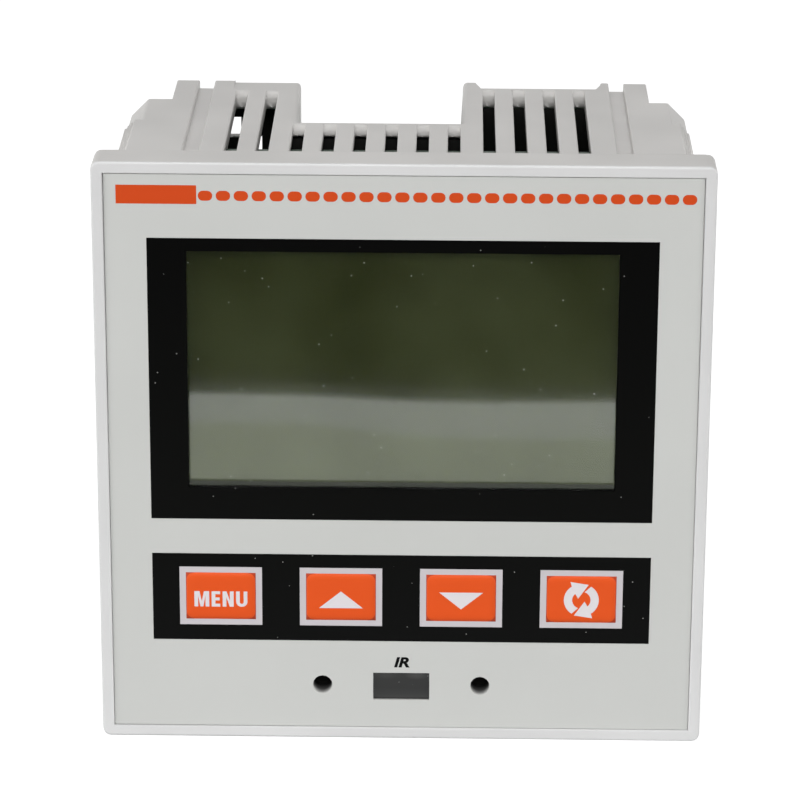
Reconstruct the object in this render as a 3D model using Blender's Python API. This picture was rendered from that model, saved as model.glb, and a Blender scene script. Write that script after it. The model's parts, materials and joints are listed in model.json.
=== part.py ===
"""A square panel instrument: a foil-fronted bezel with four keys, and a vented rear housing with its boards and
terminals.

X runs to the right, Y from the front face to the back and Z up. The origin is the centre of the whole envelope, so
the Y axis is the axis of the panel cut-out. Every length is in metres.
"""

import math

import bmesh
import bpy

MM = 0.001

# Envelope
FACE_SIDE = 96.0 * MM
FLANGE_WIDTH = 3.0 * MM
SIDE_FLANGE_WIDTH = 2.3 * MM
BEZEL_DEPTH = 7.0 * MM
BEHIND_PANEL = 54.0 * MM

# Clearances: between moulded pieces, and under films and parts that are soldered or glued down
FIT = 0.3 * MM
FILM_GAP = 0.1 * MM
BOARD_GAP = 0.5 * MM
OVERCUT = 1.0 * MM

# Bezel and front foil
BEZEL_CORNER = 1.3 * MM
BEZEL_EDGE = 0.35 * MM
RIM_WIDTH = 1.85 * MM
FOIL_RECESS = 0.35 * MM
FOIL_THICK = 0.4 * MM
PLATE_THICK = 2.0 * MM

# Display opening in the foil, by its distance from the face's edges and from the keys, and what lies behind it
WINDOW_LEFT_MARGIN = 14.4 * MM
WINDOW_RIGHT_MARGIN = 14.6 * MM
WINDOW_TOP_MARGIN = 14.2 * MM
WINDOW_ABOVE_KEYS = 18.4 * MM
PANE_LAP = 1.2 * MM
GLASS_LAP = 2.0 * MM
GLASS_LEDGE = 2.4 * MM
GLASS_SHEET = 1.1 * MM
GUIDE_THICK = 3.2 * MM
CARRIER_WALL = 1.2 * MM
STRIP_WIDTH = 1.8 * MM

# Keys: a row that reaches a little past the display opening at both ends
KEY_NAMES = ("menu", "up", "down", "page")
KEY_ROW_OUTSET = 0.5 * MM
KEY_ROW_HEIGHT = 24.4 * MM
KEY_WIDTH = 10.7 * MM
KEY_HEIGHT = 7.6 * MM
KEY_CORNER = 1.6 * MM
KEY_TRAVEL = 0.25 * MM
KEY_CROWN = 0.3 * MM
KEY_LIP = 1.0 * MM
KEY_LIP_THICK = 0.8 * MM
KEY_STEM_RADIUS = 1.9 * MM
SWITCH_SIDE = 6.0 * MM
SWITCH_HEIGHT = 3.2 * MM
BUTTON_RADIUS = 1.6 * MM
BUTTON_REACH = 0.9 * MM
BUTTON_SEAT = 1.3 * MM

# Infrared port with its two locating sockets
IR_WIDTH = 9.0 * MM
IR_HEIGHT = 4.7 * MM
IR_UP = 9.0 * MM
IR_LED_RADIUS = 1.5 * MM
IR_LED_SPACING = 4.4 * MM
SOCKET_SPACING = 25.2 * MM
SOCKET_UP = 9.25 * MM
SOCKET_RADIUS = 1.55 * MM
SOCKET_DEPTH = 4.0 * MM
SOCKET_WALL = 1.2 * MM

# Boards and what joins them
BOARD_THICK = 1.6 * MM
BOARD_CORNER = 1.0 * MM
BOARD_SPACING = 15.0 * MM
BOSS_RADIUS = 2.4 * MM
SCREW_RADIUS = 0.9 * MM
SCREW_LENGTH = 6.0 * MM
SCREW_HEAD_RADIUS = 2.0 * MM
SCREW_HEAD_THICK = 1.4 * MM
LINK_WIDTH = 26.0 * MM
LINK_HEIGHT = 5.0 * MM
LINK_Z = -12.0 * MM

# Rear housing: walls, corner rails, shoulders and snaps
WALL = 2.0 * MM
ROOF_THICK = 2.9 * MM
CORNER_STEP = 0.5 * MM
CORNER_STEPS = 3
CORNER_CHAMFER = 2.9 * MM
CORNER_RAIL_REACH = 28.5 * MM
SHOULDER_REACH = 41.8 * MM
SHOULDER_WIDTH = 6.3 * MM
REAR_OFFSET = 0.4 * MM
SNAP_LENGTH = 12.0 * MM
SNAP_DEPTH = 0.8 * MM
SNAP_THICK = 1.6 * MM
SNAP_SPACING = 46.0 * MM
POST_RADIUS = 2.4 * MM

# Rear housing: clamp guides
OUTER_RIB_WIDTH = 3.85 * MM
INNER_RIB_WIDTH = 3.4 * MM
GUIDE_GROOVE_WIDTH = 2.55 * MM
GUIDE_GROOVE_DEPTH = 1.35 * MM
GUIDE_GROOVE_START = 1.0 * MM

# Rear housing: vents over the left block, before the bay and over the right block, with their reach behind the panel
SLOT_WIDTH = 2.0 * MM
SLOT_PITCH = 5.0 * MM
SLOT_START = 6.0 * MM
SLOT_END_RADIUS = 1.2 * MM
LEFT_SLOTS = 2
LEFT_SLOT_REACH = 46.2 * MM
CENTRE_SLOTS = 6
CENTRE_SLOT_REACH = 25.6 * MM
CENTRE_SLOT_OFFSET = -0.55 * MM
RIGHT_SLOTS = 4
RIGHT_SLOT_REACH = 48.0 * MM
RIGHT_SLOT_OFFSET = -0.05 * MM

# Rear housing: bay for a plug-in module, in what the terminals at its two sides leave free
BAY_FLOOR_REACH = 28.3 * MM
BAY_LEFT_DRAFT = 0.9 * MM
BAY_RIGHT_DRAFT = 0.4 * MM
MODULE_PLUG_MARGIN = 3.2 * MM
MODULE_PLUG_HEIGHT = 5.0 * MM
MODULE_PLUG_STAND = 1.5 * MM
MODULE_PLUG_Z = 12.0 * MM

# Rear housing: plug-in terminals
POLE_PITCH = 5.08 * MM
HEADER_HEIGHT = 12.0 * MM
HEADER_DEPTH = 12.0 * MM
HEADER_WALL = 1.0 * MM
HEADER_CAVITY = 8.6 * MM
HEADER_DROP = 18.5 * MM
PIN_SIDE = 1.0 * MM
PIN_LENGTH = 6.0 * MM
SUPPLY_POLES = 2
SUPPLY_OUTER_GAP = 7.0 * MM
SUPPLY_INNER_GAP = 1.0 * MM
SUPPLY_KEYWAY_WIDTH = 1.2 * MM
SUPPLY_KEYWAY_HEIGHT = 3.0 * MM
LATCH_WINDOW_WIDTH = 2.5 * MM
LATCH_WINDOW_HEIGHT = 3.3 * MM
VOLTAGE_POLES = 4
VOLTAGE_OUTER_GAP = 5.6 * MM
VOLTAGE_INNER_GAP = 0.8 * MM
RECESS_DEPTH = 3.7 * MM
RECESS_MARGIN = 2.0 * MM
RECESS_SLOPE_WIDTH = 1.0 * MM
RECESS_SLOPE_DEPTH = 3.2 * MM
EDGE_SLOPE_LENGTH = 5.6 * MM
EDGE_SLOPE_DROP = 0.3 * MM

# Fixed current terminals
CURRENT_POLES = 6
CURRENT_PITCH = 9.0 * MM
CURRENT_END = 0.5 * MM
CURRENT_HEIGHT = 17.0 * MM
TROUGH_HEIGHT = 9.0 * MM
CURRENT_RECESS = 1.5 * MM
CURRENT_BORE_RADIUS = 2.6 * MM
CURRENT_BORE_DEPTH = 10.0 * MM
CURRENT_BORE_DROP = 6.0 * MM
WIRE_PORT_SIDE = 3.8 * MM
WIRE_PORT_DEPTH = 6.0 * MM
TROUGH_LENGTH = 11.0 * MM
TERMINAL_SCREW_RADIUS = 2.2 * MM
TERMINAL_SCREW_LENGTH = 8.0 * MM
TERMINAL_SCREW_SLOT = 0.6 * MM

# Current transformers with their primary bars
TOROID_RADIUS = 7.0 * MM
TOROID_BORE = 2.6 * MM
TOROID_THICK = 8.0 * MM
BAR_WIDTH = 2.0 * MM
BAR_THICK = 1.4 * MM
BAR_RISE = 11.0 * MM

# Supply parts, by their distance from the board's edges
CORE_WIDTH = 18.0 * MM
CORE_HEIGHT = 15.0 * MM
CORE_DEPTH = 11.0 * MM
CORE_LIMB = 3.2 * MM
CORE_SIDE_MARGIN = 4.5 * MM
CORE_TOP_MARGIN = 11.0 * MM
COIL_WALL = 2.2 * MM
CAPACITORS = 2
CAPACITOR_RADIUS = 4.0 * MM
CAPACITOR_HEIGHT = 11.5 * MM
CAPACITOR_SPACE = 2.0 * MM
CAPACITOR_MARGIN = 10.5 * MM
CHIP_SIDE = 10.0 * MM
CHIP_THICK = 1.4 * MM

# Panel gasket
GASKET_THICK = 1.5 * MM
GASKET_MARGIN = 0.8 * MM

# Depths, from the front face to the back
BODY_SIDE = FACE_SIDE - 2 * FLANGE_WIDTH
FRONT = -(BEZEL_DEPTH + BEHIND_PANEL) / 2
SEAT = FRONT + BEZEL_DEPTH
BACK = SEAT + BEHIND_PANEL
FOIL_FRONT = FRONT + FOIL_RECESS
FOIL_BACK = FOIL_FRONT + FOIL_THICK
PLATE_FRONT = FOIL_BACK + FILM_GAP
PLATE_BACK = PLATE_FRONT + PLATE_THICK
GLASS_FRONT = PLATE_BACK + FIT
GLASS_BACK = GLASS_FRONT + 2 * GLASS_SHEET
GUIDE_FRONT = GLASS_BACK + FIT
BOARD_FRONT = GUIDE_FRONT + GUIDE_THICK + FIT
BOARD_BACK = BOARD_FRONT + BOARD_THICK
MAIN_FRONT = BOARD_BACK + BOARD_SPACING
MAIN_BACK = MAIN_FRONT + BOARD_THICK
RAIL_BACK = SEAT + CORNER_RAIL_REACH
SHOULDER_BACK = SEAT + SHOULDER_REACH
BAY_FLOOR = SEAT + BAY_FLOOR_REACH
RECESS_FLOOR = BACK - RECESS_DEPTH
HEADER_BACK = RECESS_FLOOR - WALL - FIT
TERMINAL_BACK = HEADER_BACK - HEADER_DEPTH - FILM_GAP
TERMINAL_FRONT = TERMINAL_BACK - BOARD_THICK
TROUGH_FRONT = BACK - TROUGH_LENGTH
CURRENT_BACK = BACK - CURRENT_RECESS

# Half widths and levels that several pieces share
BODY_HALF = BODY_SIDE / 2
BODY_WIDE_HALF = FACE_SIDE / 2 - SIDE_FLANGE_WIDTH
CAVITY_HALF = BODY_HALF - WALL
BOARD_HALF = CAVITY_HALF - BOARD_GAP
REAR_HALF = BODY_WIDE_HALF - SHOULDER_WIDTH
REAR_CAVITY_HALF = REAR_HALF - WALL
FOIL_POCKET_HALF = FACE_SIDE / 2 - RIM_WIDTH
BOSS_PLACE = CAVITY_HALF - FIT - BOSS_RADIUS

# The front's layout: openings and keys, placed from the face's edges
KEY_ROW_Z = KEY_ROW_HEIGHT - FACE_SIDE / 2
IR_Z = IR_UP - FACE_SIDE / 2
SOCKET_Z = SOCKET_UP - FACE_SIDE / 2
WINDOW_WIDTH = FACE_SIDE - WINDOW_LEFT_MARGIN - WINDOW_RIGHT_MARGIN
WINDOW_HEIGHT = FACE_SIDE / 2 - WINDOW_TOP_MARGIN - KEY_ROW_Z - WINDOW_ABOVE_KEYS
WINDOW_X = (WINDOW_LEFT_MARGIN - WINDOW_RIGHT_MARGIN) / 2
WINDOW_Z = KEY_ROW_Z + WINDOW_ABOVE_KEYS + WINDOW_HEIGHT / 2
KEY_PITCH = (WINDOW_WIDTH + 2 * KEY_ROW_OUTSET - KEY_WIDTH) / (len(KEY_NAMES) - 1)
GLASS_HALF_WIDTH = WINDOW_WIDTH / 2 + GLASS_LAP
GLASS_HALF_HEIGHT = WINDOW_HEIGHT / 2 + PANE_LAP / 2 + GLASS_LEDGE

# The back's layout: terminals from the outer walls inwards, and the bay between them
HEADER_Z = BODY_HALF - HEADER_DROP
SUPPLY_HEADER_HALF = SUPPLY_POLES * POLE_PITCH / 2
SUPPLY_X = -REAR_CAVITY_HALF + SUPPLY_OUTER_GAP + SUPPLY_HEADER_HALF
VOLTAGE_HEADER_HALF = VOLTAGE_POLES * POLE_PITCH / 2
VOLTAGE_X = REAR_CAVITY_HALF - VOLTAGE_OUTER_GAP - VOLTAGE_HEADER_HALF
BAY_LEFT = SUPPLY_X + SUPPLY_HEADER_HALF + SUPPLY_INNER_GAP + WALL
BAY_RIGHT = VOLTAGE_X - VOLTAGE_HEADER_HALF - VOLTAGE_INNER_GAP - WALL
BAY_WIDTH = BAY_RIGHT - BAY_LEFT
BAY_X = (BAY_LEFT + BAY_RIGHT) / 2
CURRENT_HALF = CURRENT_POLES * CURRENT_PITCH / 2 + CURRENT_END
CURRENT_BOTTOM = TROUGH_HEIGHT - BODY_HALF
CURRENT_TOP = CURRENT_BOTTOM + CURRENT_HEIGHT
CURRENT_BORE_Z = CURRENT_TOP - CURRENT_BORE_DROP
BAY_BOTTOM = CURRENT_TOP + 2 * WALL
CORE_X = CORE_SIDE_MARGIN + CORE_WIDTH / 2 - BOARD_HALF
CORE_Z = BOARD_HALF - CORE_TOP_MARGIN - CORE_HEIGHT / 2


def clear_scene():
    for existing in list(bpy.data.objects):
        bpy.data.objects.remove(existing, do_unlink=True)


def material(name, colour, roughness, metallic=0.0):
    """A Principled material of one of the instrument's plastics, metals or glasses."""
    made = bpy.data.materials.new(name)
    made.use_nodes = True
    shader = made.node_tree.nodes["Principled BSDF"]
    shader.inputs["Base Color"].default_value = (*colour, 1.0)
    shader.inputs["Roughness"].default_value = roughness
    shader.inputs["Metallic"].default_value = metallic
    made.diffuse_color = (*colour, 1.0)
    return made


def make_object(name, mesh_data, finish=None):
    """Turns a bmesh into a named object with outward faces."""
    bmesh.ops.recalc_face_normals(mesh_data, faces=mesh_data.faces)
    mesh = bpy.data.meshes.new(name)
    mesh_data.to_mesh(mesh)
    mesh_data.free()
    made = bpy.data.objects.new(name, mesh)
    bpy.context.scene.collection.objects.link(made)
    if finish is not None:
        mesh.materials.append(finish)
    return made


def rectangle(half_x, half_z, radius=0.0, centre=(0.0, 0.0), segments=4):
    """Points of a rectangle in X and Z, with rounded corners where a radius is given."""
    if radius <= 0.0:
        corners = ((1, 1), (-1, 1), (-1, -1), (1, -1))
        return [(centre[0] + sx * half_x, centre[1] + sz * half_z) for sx, sz in corners]
    points = []
    for quarter, (sx, sz) in enumerate(((1, 1), (-1, 1), (-1, -1), (1, -1))):
        for step in range(segments + 1):
            angle = (quarter + step / segments) * math.pi / 2
            x = centre[0] + sx * (half_x - radius) + radius * math.cos(angle)
            z = centre[1] + sz * (half_z - radius) + radius * math.sin(angle)
            points.append((x, z))
    return points


def circle(radius, centre=(0.0, 0.0), segments=16):
    """Points of a circle in X and Z."""
    turns = [2 * math.pi * step / segments for step in range(segments)]
    return [(centre[0] + radius * math.cos(t), centre[1] + radius * math.sin(t)) for t in turns]


def add_loft(mesh_data, stations):
    """Adds a closed skin through outlines of equal length, each given with its depth."""
    rings = [[mesh_data.verts.new((x, y, z)) for x, z in outline] for y, outline in stations]
    for ring, following in zip(rings, rings[1:]):
        for index in range(len(ring)):
            after = (index + 1) % len(ring)
            mesh_data.faces.new((ring[index], ring[after], following[after], following[index]))
    mesh_data.faces.new(rings[0])
    mesh_data.faces.new(list(reversed(rings[-1])))


def add_box(mesh_data, x, y, z):
    """Adds a box between two values on each axis."""
    low, high = sorted(x)
    bottom, top = sorted(z)
    outline = [(low, bottom), (high, bottom), (high, top), (low, top)]
    add_loft(mesh_data, [(min(y), outline), (max(y), outline)])


def loft(name, stations, finish=None):
    mesh_data = bmesh.new()
    add_loft(mesh_data, stations)
    return make_object(name, mesh_data, finish)


def prism(name, outline, y_from, y_to, finish=None):
    """A straight solid along Y with the outline in X and Z."""
    return loft(name, [(y_from, outline), (y_to, outline)], finish)


def box(name, x, y, z, finish=None):
    mesh_data = bmesh.new()
    add_box(mesh_data, x, y, z)
    return make_object(name, mesh_data, finish)


def boxes(name, sizes):
    """Separate boxes in one mesh, for one cut or one join."""
    mesh_data = bmesh.new()
    for x, y, z in sizes:
        add_box(mesh_data, x, y, z)
    return make_object(name, mesh_data)


def prisms(name, outlines, y_from, y_to):
    """Separate straight solids along Y in one mesh, for one cut or one join."""
    mesh_data = bmesh.new()
    for outline in outlines:
        add_loft(mesh_data, [(y_from, outline), (y_to, outline)])
    return make_object(name, mesh_data)


def add_profile(mesh_data, outline, x_from, x_to):
    """Adds a straight solid along X with the outline in Y and Z."""
    ends = [[mesh_data.verts.new((x, y, z)) for y, z in outline] for x in (x_from, x_to)]
    for index in range(len(outline)):
        after = (index + 1) % len(outline)
        mesh_data.faces.new((ends[0][index], ends[0][after], ends[1][after], ends[1][index]))
    mesh_data.faces.new(ends[0])
    mesh_data.faces.new(list(reversed(ends[1])))


def profile_along_x(name, outline, x_from, x_to, finish=None):
    """A straight solid along X with the outline in Y and Z."""
    mesh_data = bmesh.new()
    add_profile(mesh_data, outline, x_from, x_to)
    return make_object(name, mesh_data, finish)


def plan_prism(name, outline, z_from, z_to):
    """A straight solid along Z with the outline in X and Y."""
    mesh_data = bmesh.new()
    ends = [[mesh_data.verts.new((x, y, z)) for x, y in outline] for z in (z_from, z_to)]
    for index in range(len(outline)):
        after = (index + 1) % len(outline)
        mesh_data.faces.new((ends[0][index], ends[0][after], ends[1][after], ends[1][index]))
    mesh_data.faces.new(ends[0])
    mesh_data.faces.new(list(reversed(ends[1])))
    return make_object(name, mesh_data)


def combine(target, tool, operation):
    """A Boolean with a tool that stays hidden."""
    tool.hide_render = True
    tool.display_type = "WIRE"
    modifier = target.modifiers.new(tool.name, "BOOLEAN")
    modifier.operation = operation
    modifier.solver = "EXACT"
    modifier.object = tool
    return target


def cut(target, *tools):
    for tool in tools:
        combine(target, tool, "DIFFERENCE")
    return target


def join(target, *tools):
    for tool in tools:
        combine(target, tool, "UNION")
    return target


def shade(target, degrees=35.0):
    """Smooth shading that keeps the moulded edges crisp."""
    target.data.shade_smooth()
    target.data.set_sharp_from_angle(angle=math.radians(degrees))
    return target


clear_scene()

GREY_SHELL = material("grey_shell", (0.50, 0.50, 0.48), 0.55)
GREY_FOIL = material("grey_foil", (0.58, 0.58, 0.57), 0.5)
ORANGE_KEY = material("orange_key", (0.80, 0.10, 0.022), 0.45)
CLEAR_PANE = material("clear_pane", (0.9, 0.9, 0.9), 0.05)
DARK_PANE = material("dark_pane", (0.04, 0.04, 0.04), 0.2)
DISPLAY_GLASS = material("display_glass", (0.035, 0.042, 0.018), 0.15)
WHITE_PLASTIC = material("white_plastic", (0.8, 0.8, 0.8), 0.4)
BLACK_PLASTIC = material("black_plastic", (0.02, 0.02, 0.02), 0.5)
GREEN_PLASTIC = material("green_plastic", (0.02, 0.20, 0.07), 0.45)
RUBBER = material("black_rubber", (0.015, 0.015, 0.015), 0.8)
BOARD_GREEN = material("board_green", (0.01, 0.10, 0.03), 0.4)
STEEL = material("steel", (0.55, 0.55, 0.55), 0.3, 1.0)
COPPER = material("copper", (0.72, 0.35, 0.20), 0.35, 1.0)
FERRITE = material("ferrite", (0.05, 0.05, 0.055), 0.7)
COIL_TAPE = material("coil_tape", (0.65, 0.48, 0.08), 0.5)
CAPACITOR_SLEEVE = material("capacitor_sleeve", (0.03, 0.035, 0.06), 0.4)


def key_centre(index):
    """Centre of a key in the row, in X and Z."""
    return WINDOW_X + (index - (len(KEY_NAMES) - 1) / 2) * KEY_PITCH, KEY_ROW_Z


def key_outline(index, growth=0.0):
    half_x = KEY_WIDTH / 2 + growth
    half_z = KEY_HEIGHT / 2 + growth
    return rectangle(half_x, half_z, KEY_CORNER + growth, key_centre(index))


def boss_places():
    return [(sx * BOSS_PLACE, sz * BOSS_PLACE) for sx, sz in ((-1, 1), (1, 1), (-1, -1), (1, -1))]


def socket_places():
    return [(side * SOCKET_SPACING / 2, SOCKET_Z) for side in (-1, 1)]


def snap_boxes(growth):
    """Snap noses on the housing's top and bottom, or their pockets in the bezel."""
    depth_low = SEAT - SNAP_THICK - BEZEL_DEPTH / 4 - growth
    depth_high = SEAT - BEZEL_DEPTH / 4 + growth
    reach = BODY_HALF + SNAP_DEPTH + growth
    places = []
    for side in (-1, 1):
        for level in (-1, 1):
            middle = side * SNAP_SPACING / 2
            half = SNAP_LENGTH / 2 + growth
            across = (middle - half, middle + half)
            places.append((across, (depth_low, depth_high), (level * (BODY_HALF - WALL / 2), level * reach)))
    return places


# Bezel: square frame with the plate behind the foil
def rounded_front(half, corner, edge, y_front, y_back, segments=3):
    """Stations of a square solid whose front edge is rounded."""
    stations = []
    for step in range(segments + 1):
        angle = step / segments * math.pi / 2
        inset = edge * (1 - math.sin(angle))
        depth = y_front + edge * (1 - math.cos(angle))
        stations.append((depth, rectangle(half - inset, half - inset, corner - inset)))
    stations.append((y_back, rectangle(half, half, corner)))
    return stations


bezel = loft("front_bezel", rounded_front(FACE_SIDE / 2, BEZEL_CORNER, BEZEL_EDGE, FRONT, SEAT), GREY_SHELL)
foil_pocket = prism("foil_pocket", rectangle(FOIL_POCKET_HALF, FOIL_POCKET_HALF), FRONT - OVERCUT, PLATE_FRONT)
housing_pocket = prism(
    "housing_pocket", rectangle(BODY_WIDE_HALF + FIT, BODY_HALF + FIT), PLATE_BACK, SEAT + OVERCUT
)
boss_posts = prisms(
    "boss_posts", [circle(BOSS_RADIUS, place, 12) for place in boss_places()], PLATE_BACK - PLATE_THICK / 2, BOARD_FRONT - FIT
)
socket_posts = prisms(
    "socket_posts",
    [circle(SOCKET_RADIUS + SOCKET_WALL, place, 16) for place in socket_places()],
    PLATE_BACK - PLATE_THICK / 2,
    PLATE_FRONT + SOCKET_DEPTH + SOCKET_WALL,
)
PANE_HALF = (WINDOW_WIDTH / 2 + PANE_LAP, WINDOW_HEIGHT / 2 + PANE_LAP)
window_openings = prisms(
    "window_openings",
    [
        rectangle(PANE_HALF[0] + FIT, PANE_HALF[1] + FIT, 0.0, (WINDOW_X, WINDOW_Z)),
        rectangle(IR_WIDTH / 2 + FIT, IR_HEIGHT / 2 + FIT, 0.0, (0.0, IR_Z)),
    ],
    PLATE_FRONT - OVERCUT,
    PLATE_BACK + OVERCUT,
)
key_openings = prisms(
    "key_openings",
    [key_outline(index, FIT) for index in range(len(KEY_NAMES))],
    PLATE_FRONT - OVERCUT,
    PLATE_BACK + OVERCUT,
)
socket_bores = prisms(
    "socket_bores",
    [circle(SOCKET_RADIUS, place, 16) for place in socket_places()],
    PLATE_FRONT - OVERCUT,
    PLATE_FRONT + SOCKET_DEPTH,
)
boss_bores = prisms(
    "boss_bores",
    [circle(SCREW_RADIUS + FIT, place, 12) for place in boss_places()],
    PLATE_BACK,
    BOARD_FRONT + OVERCUT,
)
cut(bezel, foil_pocket, housing_pocket)
join(bezel, boss_posts, socket_posts)
cut(bezel, window_openings, key_openings, socket_bores, boss_bores, boxes("snap_pockets", snap_boxes(FIT)))
shade(bezel)

# Front foil: one printed sheet with its openings
FOIL_HALF = FOIL_POCKET_HALF - FILM_GAP
foil = prism("front_overlay", rectangle(FOIL_HALF, FOIL_HALF), FOIL_FRONT, FOIL_BACK, GREY_FOIL)
foil_openings = prisms(
    "foil_openings",
    [
        rectangle(WINDOW_WIDTH / 2, WINDOW_HEIGHT / 2, 0.0, (WINDOW_X, WINDOW_Z)),
        rectangle(IR_WIDTH / 2, IR_HEIGHT / 2, 0.0, (0.0, IR_Z)),
    ]
    + [circle(SOCKET_RADIUS, place, 16) for place in socket_places()]
    + [key_outline(index, FIT) for index in range(len(KEY_NAMES))],
    FOIL_FRONT - OVERCUT,
    FOIL_BACK + OVERCUT,
)
cut(foil, foil_openings)

# Panes in the plate, held between the foil and what lies behind
prism(
    "display_window", rectangle(*PANE_HALF, 0.0, (WINDOW_X, WINDOW_Z)), PLATE_FRONT, PLATE_BACK, CLEAR_PANE
)
prism("ir_window", rectangle(IR_WIDTH / 2, IR_HEIGHT / 2, 0.0, (0.0, IR_Z)), PLATE_FRONT, PLATE_BACK, DARK_PANE)

# Keys: a crowned cap in the plate, a lip behind it and a stem to the switch
SWITCH_FRONT = BOARD_FRONT - FILM_GAP - SWITCH_HEIGHT
BUTTON_FRONT = SWITCH_FRONT - BUTTON_REACH
KEY_LIP_FRONT = PLATE_BACK + FILM_GAP
KEY_CROWN_FRONT = FOIL_FRONT - KEY_CROWN
CROWN_INSET = 1.1 * MM
BUTTON_END = SWITCH_FRONT + BUTTON_SEAT
BUTTON_WELL = BUTTON_END + KEY_TRAVEL + FIT


def crown_stations(index, segments=3):
    """Outlines of the pillow-shaped crown, from its flat middle out to the full cap."""
    stations = []
    for step in range(segments + 1):
        angle = step / segments * math.pi / 2
        growth = -CROWN_INSET * (1 - math.sin(angle))
        depth = KEY_CROWN_FRONT + KEY_CROWN * (1 - math.cos(angle))
        stations.append((depth, key_outline(index, growth)))
    return stations


def build_key(index, name):
    centre = key_centre(index)
    stations = crown_stations(index)
    stations.append((KEY_LIP_FRONT, key_outline(index)))
    stations.append((KEY_LIP_FRONT, key_outline(index, KEY_LIP)))
    stations.append((KEY_LIP_FRONT + KEY_LIP_THICK, key_outline(index, KEY_LIP)))
    key = loft("key_" + name, stations, ORANGE_KEY)
    stem = prism(
        "stem_" + name,
        circle(KEY_STEM_RADIUS, centre, 12),
        KEY_LIP_FRONT + KEY_LIP_THICK / 2,
        BUTTON_FRONT - FILM_GAP,
    )
    join(key, stem)
    shade(key)
    prism("switch_button_" + name, circle(BUTTON_RADIUS, centre, 12), BUTTON_FRONT, BUTTON_END, BLACK_PLASTIC)
    switch = prism(
        "switch_" + name,
        rectangle(SWITCH_SIDE / 2, SWITCH_SIDE / 2, 0.0, centre),
        SWITCH_FRONT,
        BOARD_FRONT - FILM_GAP,
        STEEL,
    )
    well = prism("well_" + name, circle(BUTTON_RADIUS + FIT, centre, 12), SWITCH_FRONT - OVERCUT, BUTTON_WELL)
    cut(switch, well)


for key_index, key_name in enumerate(KEY_NAMES):
    build_key(key_index, key_name)

# Display: cell, contact strips and light guide in their carrier
GUIDE_BACK = GUIDE_FRONT + GUIDE_THICK
LOWER_GLASS_HALF = GLASS_HALF_HEIGHT - GLASS_LEDGE
display_centre = (WINDOW_X, WINDOW_Z)
cell = loft(
    "display_glass",
    [
        (GLASS_FRONT, rectangle(GLASS_HALF_WIDTH, GLASS_HALF_HEIGHT, 0.0, display_centre)),
        (GLASS_FRONT + GLASS_SHEET, rectangle(GLASS_HALF_WIDTH, GLASS_HALF_HEIGHT, 0.0, display_centre)),
        (GLASS_FRONT + GLASS_SHEET, rectangle(GLASS_HALF_WIDTH, LOWER_GLASS_HALF, 0.0, display_centre)),
        (GLASS_BACK, rectangle(GLASS_HALF_WIDTH, LOWER_GLASS_HALF, 0.0, display_centre)),
    ],
    DISPLAY_GLASS,
)
prism(
    "light_guide",
    rectangle(GLASS_HALF_WIDTH - GLASS_LAP, LOWER_GLASS_HALF - FIT, 0.0, display_centre),
    GUIDE_FRONT,
    GUIDE_BACK,
    WHITE_PLASTIC,
)
carrier = prism(
    "display_carrier",
    rectangle(GLASS_HALF_WIDTH + FIT + CARRIER_WALL, GLASS_HALF_HEIGHT + FIT + CARRIER_WALL, 0.0, display_centre),
    PLATE_BACK + FILM_GAP,
    BOARD_FRONT - FILM_GAP,
    WHITE_PLASTIC,
)
cut(
    carrier,
    prism(
        "carrier_room",
        rectangle(GLASS_HALF_WIDTH + FIT, GLASS_HALF_HEIGHT + FIT, 0.0, display_centre),
        PLATE_BACK - OVERCUT,
        BOARD_FRONT + OVERCUT,
    ),
)
STRIP_OFFSET = GLASS_HALF_HEIGHT - GLASS_LEDGE / 2
for level, strip_name in ((1, "contact_strip_upper"), (-1, "contact_strip_lower")):
    strip_z = WINDOW_Z + level * STRIP_OFFSET
    box(
        strip_name,
        (WINDOW_X - GLASS_HALF_WIDTH, WINDOW_X + GLASS_HALF_WIDTH),
        (GLASS_FRONT + GLASS_SHEET + FILM_GAP, BOARD_FRONT - FILM_GAP),
        (strip_z - STRIP_WIDTH / 2, strip_z + STRIP_WIDTH / 2),
        RUBBER,
    )
LED_LENGTH = 3.0 * MM
LED_SPAN = GLASS_LAP - 2 * FIT
for side, led_name in ((-1, "backlight_led_left"), (1, "backlight_led_right")):
    led_x = WINDOW_X + side * (GLASS_HALF_WIDTH - GLASS_LAP / 2)
    box(
        led_name,
        (led_x - LED_SPAN / 2, led_x + LED_SPAN / 2),
        (GUIDE_FRONT + FIT, BOARD_FRONT - FILM_GAP),
        (WINDOW_Z - LED_LENGTH / 2, WINDOW_Z + LED_LENGTH / 2),
        WHITE_PLASTIC,
    )

# Display board with its screws, chip, infrared parts and link
display_board = prism("display_board", rectangle(BOARD_HALF, BOARD_HALF, BOARD_CORNER), BOARD_FRONT, BOARD_BACK, BOARD_GREEN)
cut(
    display_board,
    prisms(
        "display_board_holes",
        [circle(SCREW_RADIUS + FIT, place, 12) for place in boss_places()],
        BOARD_FRONT - OVERCUT,
        BOARD_BACK + OVERCUT,
    ),
)
SCREW_HEAD_FRONT = BOARD_BACK + FILM_GAP
for number, place in enumerate(boss_places(), 1):
    screw = loft(
        "board_screw_%d" % number,
        [
            (SCREW_HEAD_FRONT - BOARD_THICK - SCREW_LENGTH / 2, circle(SCREW_RADIUS, place, 12)),
            (SCREW_HEAD_FRONT, circle(SCREW_RADIUS, place, 12)),
            (SCREW_HEAD_FRONT, circle(SCREW_HEAD_RADIUS, place, 12)),
            (SCREW_HEAD_FRONT + SCREW_HEAD_THICK, circle(SCREW_HEAD_RADIUS, place, 12)),
        ],
        STEEL,
    )
    shade(screw)
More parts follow.
